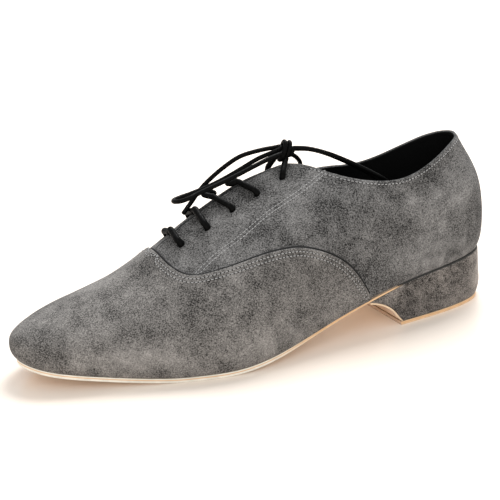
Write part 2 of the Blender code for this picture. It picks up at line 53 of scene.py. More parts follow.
MM = 0.001
SHOE_ORIGIN = np.array((144.810, 5.519, 0.0))
MERGE_DISTANCE = 0.01 * MM
SHARP_EDGE = math.radians(50.0)
QUAD_ANGLE = math.radians(40.0)
QUAD_SKEW = math.radians(52.0)
SUBDIVISIONS = 2
CAGE_ROUNDS = 6
BEVEL_FACES = 2
CURVE_PARTS = 25
PAINTED_LIGHT_RANGE = (0.3, 1.7)
NOISE_MEAN = 0.5
NUMBER = "NodeSocketFloat"
VECTOR = "NodeSocketVector"
MIDDLE_Y = -SHOE_ORIGIN[1] * MM
Colour = tuple[float, float, float]
Place = tuple[float, float, float]
Span = tuple[float, float]
Mesh = bpy.types.Mesh
NodeTree = bpy.types.NodeTree
Piece = bpy.types.Object
Socket = bpy.types.NodeSocket


class Skin(IntEnum):
    """Material slots of a walled piece: its outside, its inside and the edges between them."""

    OUTSIDE = 0
    INSIDE = 1
    EDGE = 2


class Cut(IntEnum):
    """Material slots of a cut sheet of leather: its flats, its edge, and its faces in the seat or turned
    forward.
    """

    FLAT = 0
    EDGE = 1
    SEAT_OR_FRONT = 2


def to_part(places: Sequence[Place] | np.ndarray) -> np.ndarray:
    """Bring places from shoe millimetres to the part's frame, in metres."""
    return (np.asarray(places, float) - SHOE_ORIGIN) * MM


def to_shoe(points: np.ndarray) -> np.ndarray:
    """Bring points from the part's frame to shoe millimetres."""
    return points / MM + SHOE_ORIGIN


def grey(tone: float) -> Colour:
    """Make a neutral colour."""
    return (tone, tone, tone)


def unit(vectors: np.ndarray) -> np.ndarray:
    """Scale vectors to a length of one."""
    return vectors / np.linalg.norm(vectors, axis=-1, keepdims=True)


def pick(piece: Piece) -> None:
    """Make a piece the only selected one, and the active one.

    Args:
        piece: The piece.
    """
    bpy.ops.object.select_all(action="DESELECT")
    piece.select_set(True)
    bpy.context.view_layer.objects.active = piece


def apply_modifiers(piece: Piece) -> None:
    """Apply every modifier of a piece in order.

    Args:
        piece: The piece.
    """
    pick(piece)
    for modifier in list(piece.modifiers):
        bpy.ops.object.modifier_apply(modifier=modifier.name)


def rows_of(items: bpy.types.bpy_prop_collection, name: str) -> np.ndarray:
    """Read a vector from each of a mesh's items.

    Args:
        items: The mesh's points or their normals.
        name: The vector's name.

    Returns:
        One row for each item.
    """
    flat = np.empty(len(items) * 3)
    items.foreach_get(name, flat)
    return flat.reshape(-1, 3)


def points_of(mesh: Mesh) -> np.ndarray:
    """Read a mesh's points, a row for each."""
    return rows_of(mesh.vertices, "co")


def normals_of(mesh: Mesh) -> np.ndarray:
    """Read the unit normals at a mesh's points, a row for each."""
    return rows_of(mesh.vertex_normals, "vector")


def set_points(mesh: Mesh, points: np.ndarray) -> None:
    """Write a mesh's points and bring its faces up to date."""
    mesh.vertices.foreach_set("co", points.ravel())
    mesh.update()


def set_numbers(mesh: Mesh, name: str, values: np.ndarray) -> None:
    """Write a number for each of a mesh's points as an attribute of that name."""
    layer = mesh.attributes.new(name, "FLOAT", "POINT")
    layer.data.foreach_set("value", values.astype(np.float32))


def new_piece(name: str, points: np.ndarray, faces: list[Sequence[int]]) -> Piece:
    """Add a mesh piece in the part's frame.

    Args:
        name: The piece's name.
        points: Its points in metres.
        faces: Its faces as point numbers.

    Returns:
        The new object, at the origin.
    """
    mesh = bpy.data.meshes.new(name)
    mesh.from_pydata(points.tolist(), [], faces)
    mesh.update()
    piece = bpy.data.objects.new(name, mesh)
    bpy.context.scene.collection.objects.link(piece)
    pick(piece)
    bpy.ops.object.shade_smooth()
    return piece


def settle(piece: Piece, slot: str, *nodes: str) -> Piece:
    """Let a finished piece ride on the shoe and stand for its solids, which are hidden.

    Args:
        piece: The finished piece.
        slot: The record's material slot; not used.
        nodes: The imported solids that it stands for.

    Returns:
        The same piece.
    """
    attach(piece, "root")
    if nodes:
        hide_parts(*nodes)
    log.info("%s: %d faces", piece.name, len(piece.data.polygons))
    return piece


def spaced(line: np.ndarray, step: float, closed: bool = False) -> np.ndarray:
    """Place points along a line at even steps.

    Args:
        line: The line's points.
        step: The step wanted, which is fitted to the line's length.
        closed: Whether the line runs back to its start.

    Returns:
        The new points, with both ends of an open line among them.
    """
    if closed:
        line = np.vstack([line, line[:1]])
    along = np.concatenate([[0.0], np.cumsum(np.linalg.norm(np.diff(line, axis=0), axis=1))])
    count = max(2, round(along[-1] / step) + 1)
    at = np.linspace(0.0, along[-1], count)
    new = np.stack([np.interp(at, along, line[:, k]) for k in range(3)], axis=1)
    return new[:-1] if closed else new


def smooth_route(route: np.ndarray, step: float) -> np.ndarray:
    """Draw a smooth curve through a route.

    Args:
        route: The places that it passes through.
        step: The distance between its points.

    Returns:
        Points on the curve at even steps.
    """
    slopes = np.gradient(route, axis=0)
    parts = np.linspace(0.0, 1.0, CURVE_PARTS)[:, None]
    curve = [route[:1]]
    for k in range(len(route) - 1):
        near = (1 + 2 * parts) * (1 - parts) ** 2
        piece = (
            route[k] * near + route[k + 1] * (1 - near)
            + slopes[k] * parts * (1 - parts) ** 2 - slopes[k + 1] * parts**2 * (1 - parts)
        )
        curve.append(piece[1:])
    return spaced(np.vstack(curve), step)


def open_run(loop: np.ndarray, keep: np.ndarray) -> np.ndarray:
    """Take the one kept stretch of a closed line.

    Args:
        loop: The closed line's points.
        keep: Whether each point is kept.

    Returns:
        The kept points in order.
    """
    start = next(k for k in range(len(loop)) if keep[k] and not keep[k - 1])
    turned = np.roll(np.arange(len(loop)), -start)
    return loop[[k for k in turned if keep[k]]]


def tube_faces(rings: int, sides: int) -> list[Sequence[int]]:
    """Join rings of points to a tube with open ends.

    Args:
        rings: How many rings follow each other.
        sides: How many points each ring has.

    Returns:
        The faces as point numbers.
    """
    faces = []
    for ring in range(0, (rings - 1) * sides, sides):
        for side in range(sides):
            after = (side + 1) % sides
            faces.append((ring + side, ring + after, ring + sides + after, ring + sides + side))
    return faces


def stand(item: Piece, axes: Sequence[np.ndarray], place: np.ndarray) -> None:
    """Stand a camera or a lamp at a place, with these axes as its own."""
    turned = np.array(axes).T
    item.matrix_world = Matrix([[*turned[k], place[k]] for k in range(3)] + [[0.0, 0.0, 0.0, 1.0]])


# Node trees


class Nodes:
    """A node tree with short ways to add and join nodes."""

    def __init__(self, tree: NodeTree) -> None:
        """Take the tree to work on."""
        self.tree = tree

    def add(self, kind: str, inputs: dict | None = None, **settings: object) -> bpy.types.Node:
        """Add a node.

        Args:
            kind: The node's type without its ShaderNode prefix.
            inputs: Values or sockets for its inputs, by name or number.
            settings: Values for its own properties.

        Returns:
            The new node.
        """
        node = self.tree.nodes.new(kind if kind.startswith("Node") else "ShaderNode" + kind)
        for name, value in settings.items():
            setattr(node, name, value)
        for name, value in (inputs or {}).items():
            self.feed(node.inputs[name], value)
        return node

    def feed(self, socket: Socket, value: object) -> None:
        """Give a socket a plain value or a link from another socket.

        Args:
            socket: The socket.
            value: A number, a vector, a colour or a socket.
        """
        if isinstance(value, Socket):
            self.tree.links.new(value, socket)
        elif isinstance(value, tuple) and len(value) == 3 and socket.type == "RGBA":
            socket.default_value = (*value, 1.0)
        else:
            socket.default_value = value

    def math(self, operation: str, a: object, b: object = 0.0) -> Socket:
        """Join two numbers by a sum, a product or the like, and give the result's socket."""
        return self.add("Math", {0: a, 1: b}, operation=operation).outputs[0]

    def vector(self, operation: str, inputs: dict) -> Socket:
        """Move or scale a vector and give the result's socket."""
        return self.add("VectorMath", inputs, operation=operation).outputs[0]

    def weigh(self, first: object, second: object, share: float) -> Socket:
        """Add a share of one number and the rest of another, and give the result's socket."""
        part = self.math("MULTIPLY", first, share)
        return self.math("ADD", part, self.math("MULTIPLY", second, 1.0 - share))

    def mix(self, share: object, first: object, second: object, blend: str = "MIX") -> Socket:
        """Blend two colours and give the result's socket."""
        node = self.add("Mix", {0: share, 6: first, 7: second}, data_type="RGBA", blend_type=blend)
        return node.outputs[2]

    def darken(self, colour: object, tone: Socket) -> Socket:
        """Multiply a colour by a grey tone and give the result's socket."""
        shade = self.add("CombineColor", {0: tone, 1: tone, 2: tone}).outputs[0]
        return self.mix(1.0, colour, shade, "MULTIPLY")

    def spread(self, value: object, low: float, high: float, to: Span = (0.0, 1.0)) -> Socket:
        """Stretch the part of a value between two limits to a new range, softly and clamped."""
        inputs = {0: value, 1: low, 2: high, 3: to[0], 4: to[1]}
        return self.add("MapRange", inputs, interpolation_type="SMOOTHSTEP").outputs[0]

    def noise(self, vector: object, scale: object, detail: float, roughness: float = 0.5) -> Socket:
        """Add a noise texture and give its value's socket."""
        inputs = {"Vector": vector, "Scale": scale, "Detail": detail, "Roughness": roughness}
        return self.add("TexNoise", inputs).outputs[0]

    def attribute(self, name: str) -> Socket:
        """Read one of the piece's own attributes and give its socket."""
        return self.add("Attribute", attribute_name=name).outputs["Fac"]


def new_group(
    name: str, inputs: dict[str, str], outputs: dict[str, str]
) -> tuple[NodeTree, Nodes, dict, dict]:
    """Start a shader node group.

    Args:
        name: The group's name.
        inputs: Socket types by name.
        outputs: Socket types by name.

    Returns:
        The group, its nodes' helper, its inputs' sockets and its outputs' sockets, by name.
    """
    group = bpy.data.node_groups.new(name, "ShaderNodeTree")
    for in_out, sockets in (("INPUT", inputs), ("OUTPUT", outputs)):
        for socket, kind in sockets.items():
            group.interface.new_socket(socket, in_out=in_out, socket_type=kind)
    nodes = Nodes(group)
    given = nodes.add("NodeGroupInput").outputs
    result = nodes.add("NodeGroupOutput").inputs
    return group, nodes, {n: given[n] for n in inputs}, {n: result[n] for n in outputs}


@dataclass(frozen=True)
class Nap:
    """Brushed suede: soft patches where the nap lies over, and a short fibrous grain."""

    shift: Place = (0.4, 0.1, 0.2)
    sweep_scale: float = 30.0
    sweep: float = 0.015
    sweep_detail: float = 1.0
    finer_patches: float = 2.7
    patch_details: Span = (4.0, 3.0)
    patch_roughness: float = 0.6
    broad_share: float = 0.6
    finer_grain: float = 2.1
    grain_detail: float = 1.0
    grain_share: float = 0.7

    def group(self) -> NodeTree:
        """Build the nap as a node group.

        Returns:
            The group, with patches and grain about 0 and a height for bump.
        """
        group, nodes, given, result = new_group(
            "suede_nap",
            {"Vector": VECTOR, "Patch Scale": NUMBER, "Grain Scale": NUMBER},
            {"Patches": NUMBER, "Grain": NUMBER, "Height": NUMBER},
        )
        moved = nodes.vector("ADD", {0: given["Vector"], 1: self.shift})
        turns = {"Vector": moved, "Scale": self.sweep_scale, "Detail": self.sweep_detail}
        bend = nodes.add("TexNoise", turns).outputs["Color"]
        pushed = nodes.vector("SUBTRACT", {0: bend, 1: grey(NOISE_MEAN)})
        swept = nodes.vector("ADD", {0: moved, 1: nodes.vector("SCALE", {0: pushed, 3: self.sweep})})
        finer_scale = nodes.math("MULTIPLY", given["Patch Scale"], self.finer_patches)
        broad = nodes.noise(swept, given["Patch Scale"], self.patch_details[0], self.patch_roughness)
        finer = nodes.noise(swept, finer_scale, self.patch_details[1], self.patch_roughness)
        patches = nodes.weigh(broad, finer, self.broad_share)
        fibre_scale = nodes.math("MULTIPLY", given["Grain Scale"], self.finer_grain)
        grain = nodes.noise(given["Vector"], given["Grain Scale"], self.grain_detail)
        fibre = nodes.noise(given["Vector"], fibre_scale, self.grain_detail)
        speckle = nodes.weigh(grain, fibre, self.grain_share)
        nodes.feed(result["Patches"], nodes.math("SUBTRACT", patches, NOISE_MEAN))
        nodes.feed(result["Grain"], nodes.math("SUBTRACT", speckle, NOISE_MEAN))
        nodes.feed(result["Height"], speckle)
        return group


@dataclass(frozen=True)
class Pebbles:
    """Smooth leather's grain: pebbles between fine furrows, and a slow drift of tone."""

    fibre_scale: float = 1.7
    fibre_detail: float = 3.0
    fibre_share: float = 0.5
    tone_detail: float = 5.0
    tone_roughness: float = 0.6
    tone_range: Span = (0.3, 0.7)

    def group(self) -> NodeTree:
        """Build the grain as a node group.

        Returns:
            The group, with a tone from 0 to 1 and a height for bump.
        """
        group, nodes, given, result = new_group(
            "leather_grain",
            {"Vector": VECTOR, "Grain Scale": NUMBER, "Tone Scale": NUMBER},
            {"Tone": NUMBER, "Height": NUMBER},
        )
        inputs = {"Vector": given["Vector"], "Scale": given["Grain Scale"]}
        cells = nodes.add("TexVoronoi", inputs, feature="SMOOTH_F1").outputs["Distance"]
        fibre_scale = nodes.math("MULTIPLY", given["Grain Scale"], self.fibre_scale)
        fibre = nodes.noise(given["Vector"], fibre_scale, self.fibre_detail)
        tone = nodes.noise(given["Vector"], given["Tone Scale"], self.tone_detail, self.tone_roughness)
        nodes.feed(result["Tone"], nodes.spread(tone, *self.tone_range))
        pebbles = nodes.math("SUBTRACT", 1.0, cells)
        fibres = nodes.math("MULTIPLY", fibre, self.fibre_share)
        nodes.feed(result["Height"], nodes.math("ADD", pebbles, fibres))
        return group


@dataclass
class Canvas:
    """A material in the making: its nodes, its surface's inputs, Object coordinates and a shared effect."""

    nodes: Nodes
    surface: bpy.types.bpy_prop_collection
    place: Socket
    effect: NodeTree

    def lay(self, scales: dict[str, float]) -> bpy.types.bpy_prop_collection:
        """Place the shared effect at these scales and give its outputs."""
        return self.nodes.add("Group", {"Vector": self.place, **scales}, node_tree=self.effect).outputs


@dataclass(frozen=True)
class Finish(ABC):
    """A surface's name, gloss and bump, which every finish has."""

    name: str
    roughness: float = 0.85
    bump: float = 0.4
    bump_depth: float = 0.25 * MM

    def material(self, effect: NodeTree) -> bpy.types.Material:
        """Make the finish's material.

        Args:
            effect: The shared effect that the finish may use.

        Returns:
            The material.
        """
        material = bpy.data.materials.new(self.name)
        material.use_nodes = True
        nodes = Nodes(material.node_tree)
        surface = material.node_tree.nodes["Principled BSDF"].inputs
        surface["Roughness"].default_value = self.roughness
        place = nodes.add("TexCoord").outputs["Object"]
        height = self.paint(Canvas(nodes, surface, place, effect))
        bump = nodes.add("Bump", {"Strength": self.bump, "Distance": self.bump_depth, "Height": height})
        nodes.feed(surface["Normal"], bump.outputs[0])
        return material

    @abstractmethod
    def paint(self, canvas: Canvas) -> Socket:
        """Colour a material in the making and give the height of its grain."""


@dataclass(frozen=True)
class Suede(Finish):
    """Brushed suede: its mean colour, and how much the nap's patches and grain change it."""

    colour: Colour = grey(0.15)
    patch_share: float = 3.3
    grain_share: float = 4.4
    dark_grain: float = 0.9
    darkest: float = 0.08
    patch_scale: float = 40.0
    grain_scale: float = 1450.0
    sheen: float = 0.08
    sheen_roughness: float = 0.6
    specular: float = 0.1

    def paint(self, canvas: Canvas) -> Socket:
        """Change the colour by the nap and by the zones' painted light and shade, with more grain where
        darker.

        Args:
            canvas: The material in the making, with the nap as its effect.

        Returns:
            The height of the grain.
        """
        nodes, surface = canvas.nodes, canvas.surface
        nap = canvas.lay({"Patch Scale": self.patch_scale, "Grain Scale": self.grain_scale})
        # The piece's painted light and shade, written at its points by its zones.
        light_zone = nodes.attribute("painted_light_tone")
        patches = nodes.math("MULTIPLY", nap["Patches"], self.patch_share)
        less = nodes.math("MULTIPLY", light_zone, self.dark_grain * self.grain_share)
        rough = nodes.math("SUBTRACT", (1.0 + self.dark_grain) * self.grain_share, less)
        grain = nodes.math("MULTIPLY", nap["Grain"], rough)
        change = nodes.math("ADD", nodes.math("ADD", patches, grain), 1.0)
        tone = nodes.math("MAXIMUM", nodes.math("MULTIPLY", change, light_zone), self.darkest)
        nodes.feed(surface["Base Color"], nodes.darken(self.colour, tone))
        surface["Sheen Weight"].default_value = self.sheen
        surface["Sheen Roughness"].default_value = self.sheen_roughness
        surface["Specular IOR Level"].default_value = self.specular
        return nap["Height"]


@dataclass(frozen=True)
class Leather(Finish):
    """Smooth leather with a fine grain."""

    dark: Colour = (0.5, 0.33, 0.2)
    light: Colour = (0.72, 0.52, 0.34)
    grain_scale: float = 900.0
    tone_scale: float = 40.0

    def paint(self, canvas: Canvas) -> Socket:
        """Let the colour drift between dark and light.

        Args:
            canvas: The material in the making, with smooth leather's grain as its effect.

        Returns:
            The height of the grain.
        """
        grain = canvas.lay({"Grain Scale": self.grain_scale, "Tone Scale": self.tone_scale})
        colour = canvas.nodes.mix(grain["Tone"], self.dark, self.light)
        canvas.nodes.feed(canvas.surface["Base Color"], colour)
        return grain["Height"]


@dataclass(frozen=True)
class SoleEdge(Finish):
    """Trimmed edge of the leather sole: pale, with a thin darker line where two layers meet.

    It is tan towards the back, and painted dark in the seat, as shade in the gap where the heel's cover
    laps over it.
    """

    pale: Colour = (1.0, 0.95, 0.83)
    tan: Colour = (0.92, 0.62, 0.36)
    tan_from: Span = (25.0 * MM, -25.0 * MM)
    worn: Span = (0.85, 1.0)
    line: Colour = (0.8, 0.45, 0.2)
    line_height: float = 0.6
    line_reach: Span = (0.04, 0.18)
    line_share: float = 0.8
    # Painted shade: the edge darkens in the seat's gap and below the shadow's top.
    gap_shade: Colour = (0.02, 0.019, 0.018)
    gap_shade_from: Span = (0.5, 0.8)
    shade: Colour = (0.01, 0.009, 0.008)
    shade_height: float = 0.3
    shade_blur: float = 0.1
    grain_scale: float = 1500.0
    tone_scale: float = 120.0

    def paint(self, canvas: Canvas) -> Socket:
        """Colour the edge by a point's height and its share in the seat, which are the piece's attributes.

        Args:
            canvas: The material in the making, with smooth leather's grain as its effect.

        Returns:
            The height of the grain.
        """
        nodes = canvas.nodes
        grain = canvas.lay({"Grain Scale": self.grain_scale, "Tone Scale": self.tone_scale})
        height, seat = nodes.attribute("edge_height"), nodes.attribute("seat_share")
        off_line = nodes.math("ABSOLUTE", nodes.math("SUBTRACT", height, self.line_height))
        on_line = nodes.spread(off_line, *self.line_reach, (self.line_share, 0.0))
        shadow_top = nodes.math("MULTIPLY", seat, self.shade_height)
        below_top = nodes.math("SUBTRACT", shadow_top, height)
        shaded = nodes.spread(below_top, -self.shade_blur, self.shade_blur)
        backward = nodes.add("SeparateXYZ", {0: canvas.place}).outputs[0]
        tanned = nodes.mix(nodes.spread(backward, *self.tan_from), self.pale, self.tan)
        toned = nodes.darken(tanned, nodes.spread(grain["Tone"], 0.0, 1.0, self.worn))
        lined = nodes.mix(on_line, toned, self.line)
        # Painted shade in the seat's gap, then the painted shadow below its top.
        edge = nodes.mix(nodes.spread(seat, *self.gap_shade_from), lined, self.gap_shade)
        nodes.feed(canvas.surface["Base Color"], nodes.mix(shaded, edge, self.shade))
        return grain["Height"]


@dataclass(frozen=True)
class Thread(Finish):
    """Sewing thread, twisted and matt."""

    colour: Colour = grey(0.45)
    furrow_share: float = 0.6
    twist_scale: float = 2600.0
    twist_detail: float = 2.0
    twist_range: Span = (0.3, 0.7)

    def paint(self, canvas: Canvas) -> Socket:
        """Darken the thread in the furrows of its twist, as painted shade.

        Args:
            canvas: The material in the making.

        Returns:
            The height of the twist.
        """
        nodes = canvas.nodes
        twist = nodes.noise(canvas.place, self.twist_scale, self.twist_detail)
        # Painted shade in the furrows of the twist.
        deep = tuple(self.furrow_share * c for c in self.colour)
        colour = nodes.mix(nodes.spread(twist, *self.twist_range), deep, self.colour)
        nodes.feed(canvas.surface["Base Color"], colour)
        return twist


@dataclass(frozen=True)
class WaxedCord(Finish):
    """Black waxed lace: dull, with painted shade, in the braid's furrows; a little glossy, with a painted
    glint, on its strands.
    """

    # Painted shade in the braid's furrows, and a painted glint on its strands.
    furrow_shade: Colour = grey(0.0008)
    strand: Colour = grey(0.003)
    furrow_roughness: float = 0.8
    specular: float = 0.06
    fibre_scale: float = 3000.0
    fibre_detail: float = 3.0

    def paint(self, canvas: Canvas) -> Socket:
        """Tell strands from furrows by the braid's height, which the piece's own attribute says.

        Args:
            canvas: The material in the making.

        Returns:
            The height of the fibres.
        """
        nodes, surface = canvas.nodes, canvas.surface
        height = nodes.attribute("braid_height")
        gloss = nodes.spread(height, 0.0, 1.0, (self.furrow_roughness, self.roughness))
        # Painted shade in the furrows and a painted glint on the strands, by the braid's height.
        nodes.feed(surface["Base Color"], nodes.mix(height, self.furrow_shade, self.strand))
        nodes.feed(surface["Roughness"], gloss)
        surface["Specular IOR Level"].default_value = self.specular
        return nodes.noise(canvas.place, self.fibre_scale, self.fibre_detail)


@dataclass
class Palette:
    """Every finish of the shoe, made once."""

    made: dict[str, bpy.types.Material] = field(default_factory=dict)

    def __post_init__(self) -> None:
        """Make the materials."""
        nap, grain = Nap().group(), Pebbles().group()
        suedes = (
            Suede("suede_vamp", colour=(0.14, 0.133, 0.126), patch_share=3.6, grain_share=5.6),
            Suede("suede_quarters", colour=(0.108, 0.106, 0.104), patch_share=4.4, grain_share=6.6),
            Suede(
                "suede_heel", colour=(0.165, 0.15, 0.138), patch_share=4.2, grain_share=5.0,
                patch_scale=60.0,
            ),
            Suede("suede_tongue", colour=grey(0.05)),
            # The vamp's raw cut edge: pale suede, lighter still as a painted highlight along the edge.
            Suede("suede_cut_edge_highlight", colour=(0.24, 0.235, 0.23), sheen=0.0),
            # The quarters' turned edges: darker suede, partly painted shade along the collar, facings and
            # eyelets.
            Suede("suede_turned_edge_shade", colour=grey(0.08), sheen=0.0),
        )
        leathers = (
            Leather("lining_leather", roughness=0.5, bump=0.2, dark=grey(0.001), light=grey(0.003)),
            Leather("sock_leather", roughness=0.5, bump=0.25, dark=grey(0.006), light=grey(0.016)),
            Leather(
                "sole_leather", roughness=0.6, bump=0.25, dark=(0.52, 0.36, 0.23), light=(0.68, 0.5, 0.34)
            ),
            Leather(
                "breast_leather", roughness=0.5, bump=0.2, dark=(0.76, 0.58, 0.44), light=(0.9, 0.7, 0.54)
            ),
            Leather("breast_edge", roughness=0.5, bump=0.2, dark=(0.8, 0.6, 0.4), light=(0.9, 0.7, 0.5)),
            # Dark leather for the seat's gap between the upper and the heel: painted shade.
            Leather(
                "seat_gap_shade", roughness=0.7, bump=0.2, dark=(0.06, 0.06, 0.055), light=(0.1, 0.1, 0.09)
            ),
            SoleEdge("sole_edge", roughness=0.5, bump=0.15),
        )
        plain = (
            Thread("sewing_thread", roughness=0.8, bump=0.4),
            # Near-black: painted shade in the needle holes and painted shadow at the foot of the vamp's
            # edge.
            Thread("needle_hole", roughness=0.9, bump=0.2, colour=grey(0.008)),
            WaxedCord("waxed_lace", roughness=0.4, bump=0.25),
        )
        for finish in suedes:
            self.made[finish.name] = finish.material(nap)
        for finish in leathers + plain:
            self.made[finish.name] = finish.material(grain)

    def dress(self, piece: Piece, *names: str) -> None:
        """Give a piece these finishes as its material slots, in order."""
        for name in names:
            piece.data.materials.append(self.made[name])


# Walled pieces


def copy_of(node: str, name: str) -> Piece:
    """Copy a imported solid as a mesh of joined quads.

    Args:
        node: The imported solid's name.
        name: The new piece's name.

    Returns:
        The copy, at the origin.
    """
    piece = bpy.data.objects.new(name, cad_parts[node].data.copy())
    piece.data.name = name
    piece.data.materials.clear()
    bpy.context.scene.collection.objects.link(piece)
    pick(piece)
    bpy.ops.mesh.customdata_custom_splitnormals_clear()
    bpy.ops.object.mode_set(mode="EDIT")
    bpy.ops.mesh.select_all(action="SELECT")
    bpy.ops.mesh.remove_doubles(threshold=MERGE_DISTANCE)
    bpy.ops.mesh.tris_convert_to_quads(face_threshold=QUAD_ANGLE, shape_threshold=QUAD_SKEW)
    bpy.ops.object.mode_set(mode="OBJECT")
    bpy.ops.object.shade_smooth()
    return piece


def solid_tree(node: str) -> BVHTree:
    """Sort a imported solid's faces for quick search."""
    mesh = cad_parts[node].data
    return BVHTree.FromPolygons(points_of(mesh).tolist(), [tuple(p.vertices) for p in mesh.polygons])


def smooth_regions(piece: Piece) -> list[list[int]]:
    """Part a mesh's faces along its sharp edges.

    Args:
        piece: The piece to read.

    Returns:
        The face numbers of each smooth region, with the largest region first.
    """
    shape = bmesh.new()
    shape.from_mesh(piece.data)
    left = set(shape.faces)
    regions = []
    while left:
        todo = [left.pop()]
        region = []
        while todo:
            face = todo.pop()
            region.append(face)
            for edge in face.edges:
                if edge.calc_face_angle(math.pi) < SHARP_EDGE:
                    new = [f for f in edge.link_faces if f in left]
                    left.difference_update(new)
                    todo.extend(new)
        regions.append(region)
    regions.sort(key=lambda faces: -sum(f.calc_area() for f in faces))
    numbers = [[f.index for f in region] for region in regions]
    shape.free()
    return numbers


def mark_skins(piece: Piece) -> None:
    """Give a walled piece's outside, which is its larger skin, its inside and its edges their slots.

    Args:
        piece: The walled piece.
    """
    slots = np.full(len(piece.data.polygons), Skin.EDGE, np.int32)
    outside, inside = smooth_regions(piece)[:2]
    slots[outside] = Skin.OUTSIDE
    slots[inside] = Skin.INSIDE
    piece.data.polygons.foreach_set("material_index", slots)


def crease_edges(piece: Piece, amount: float) -> np.ndarray:
    """Hold the sharp edges of a piece against smoothing.

    Args:
        piece: The piece.
        amount: How sharp the edges stay, from 0 to 1.

    Returns:
        For each point, whether it lies on a sharp edge.
    """
    shape = bmesh.new()
    shape.from_mesh(piece.data)
    layer = shape.edges.layers.float.new("crease_edge")
    on_edge = np.zeros(len(shape.verts), bool)
    for edge in shape.edges:
        if edge.calc_face_angle(math.pi) >= SHARP_EDGE:
            edge[layer] = amount
            on_edge[[v.index for v in edge.verts]] = True
    shape.to_mesh(piece.data)
    shape.free()
    return on_edge


def round_off(piece: Piece, crease: float) -> None:
    """Smooth a piece so that its surface still passes through the solid's own points.

    The cage is moved a few times, each time by what the surface is off the solid.

    Args:
        piece: The piece.
        crease: How sharp its edges stay, from 0 to 1; edges that stay fully sharp keep their place too.
    """
    on_edge = crease_edges(piece, crease)
    held = np.ones(len(on_edge), bool) if crease >= 1.0 else ~on_edge
    modifier = piece.modifiers.new("round", "SUBSURF")
    modifier.levels = modifier.render_levels = SUBDIVISIONS
    target = points_of(piece.data)
    cage = target.copy()
    for _ in range(CAGE_ROUNDS):
        bpy.context.view_layer.update()
        shown = piece.evaluated_get(bpy.context.evaluated_depsgraph_get())
        smooth = points_of(shown.data)[: len(target)]
        cage[held] += (target - smooth)[held]
        set_points(piece.data, cage)
    apply_modifiers(piece)


def soften_edges(piece: Piece, width: float) -> None:
    """Bevel a piece's sharp edges.

    Args:
        piece: The piece.
        width: The bevel's width in millimetres.
    """
    bevel = piece.modifiers.new("soften", "BEVEL")
    bevel.width = width * MM
    bevel.segments = BEVEL_FACES
    bevel.limit_method = "ANGLE"
    bevel.angle_limit = SHARP_EDGE
    apply_modifiers(piece)


def rim_loops(piece: Piece) -> list[np.ndarray]:
    """Find the lines where a walled piece's outside ends.

    Args:
        piece: A finished piece whose slots are marked.

    Returns:
        The points of each closed line in order, longest line first.
    """
    shape = bmesh.new()
    shape.from_mesh(piece.data)
    after: dict[int, int] = {}
    for face in shape.faces:
        if face.material_index != Skin.OUTSIDE:
            continue
        for loop in face.loops:
            if loop.link_loop_radial_next.face.material_index != Skin.OUTSIDE:
                after[loop.vert.index] = loop.link_loop_next.vert.index
    points = points_of(piece.data)
    shape.free()
    loops = []
    while after:
        line = [next(iter(after))]
        while line[-1] in after:
            line.append(after.pop(line[-1]))
        loops.append(points[line[:-1]])
    return sorted(loops, key=len, reverse=True)


def top_line(upper: Piece) -> np.ndarray:
    """Find the edge of the collar and the throat.

    Args:
        upper: The finished upper.

    Returns:
        The points of the closed line.
    """
    return max(rim_loops(upper)[:2], key=lambda loop: loop[:, 2].mean())


@dataclass
class Surface:
    """The outside of a finished piece, to lay things on."""

    piece: Piece

    def __post_init__(self) -> None:
        """Sort the outside's faces for quick search."""
        mesh = self.piece.data
        faces = [tuple(p.vertices) for p in mesh.polygons if p.material_index == Skin.OUTSIDE]
        self.tree = BVHTree.FromPolygons(points_of(mesh).tolist(), faces)

    def nearest(self, places: np.ndarray) -> tuple[np.ndarray, np.ndarray]:
        """Find the surface's nearest points.

        Args:
            places: Points near the surface.

        Returns:
            The nearest points on it and its normals there.
        """
        found = [self.tree.find_nearest(place) for place in places]
        return np.array([f[0] for f in found]), np.array([f[1] for f in found])

    def beside(self, line: np.ndarray, distance: float) -> np.ndarray:
        """Draw a line on the surface beside its rim.

        Args:
            line: Points of the rim at even steps.
            distance: How far from the rim, in metres.

        Returns:
            Points of the new line.
        """
        _, normals = self.nearest(line)
        across = unit(np.cross(normals, np.gradient(line, axis=0))) * distance
        tries = [(self.nearest(line + way)[0], line + way) for way in (across, -across)]
        misses = [np.linalg.norm(found - wanted, axis=1).mean() for found, wanted in tries]
        return tries[int(np.argmin(misses))][0]


@dataclass(frozen=True)
class SoftCrease:
    """A shallow fold across the upper where the foot bends it, in the shoe's millimetres."""

    middle: Place
    along: Place
    half_length: float
    half_width: float
    depth: float
    fade: float = 2.0
    ridge: float = 0.6

    def fall(self, places: np.ndarray) -> np.ndarray:
        """Work out how far the surface sinks at each place, with a low ridge on both sides of the trough.

        Args:
            places: Points in shoe millimetres.

        Returns:
            The sinking in millimetres.
        """
        way = unit(np.array(self.along))
        away = places - np.array(self.middle)
        length = away @ way
        width = np.linalg.norm(away - length[:, None] * way, axis=1) / self.half_width
        fade = np.exp(-((length / self.half_length) ** 2) * self.fade)
        return self.depth * fade * (1.0 - self.ridge * width**2) * np.exp(-(width**2))


@dataclass(frozen=True)
class PaintedLightZone:
    """A place where the suede is painted lighter or darker, as light and shade, in the shoe's millimetres.
    """

    middle: Place
    reach: Place
    change: float


def paint_light_zones(piece: Piece, light_zones: Sequence[PaintedLightZone]) -> None:
    """Write the painted light and shade at each point of a piece.

    Args:
        piece: A suede piece.
        light_zones: Where the suede is painted lighter or darker than elsewhere, as light and shade.
    """
    places = to_shoe(points_of(piece.data))
    tone = np.ones(len(places))
    for light_zone in light_zones:
        away = (places - np.array(light_zone.middle)) / np.array(light_zone.reach)
        tone += light_zone.change * np.exp(-(away**2).sum(axis=1))
    set_numbers(piece.data, "painted_light_tone", tone.clip(*PAINTED_LIGHT_RANGE))


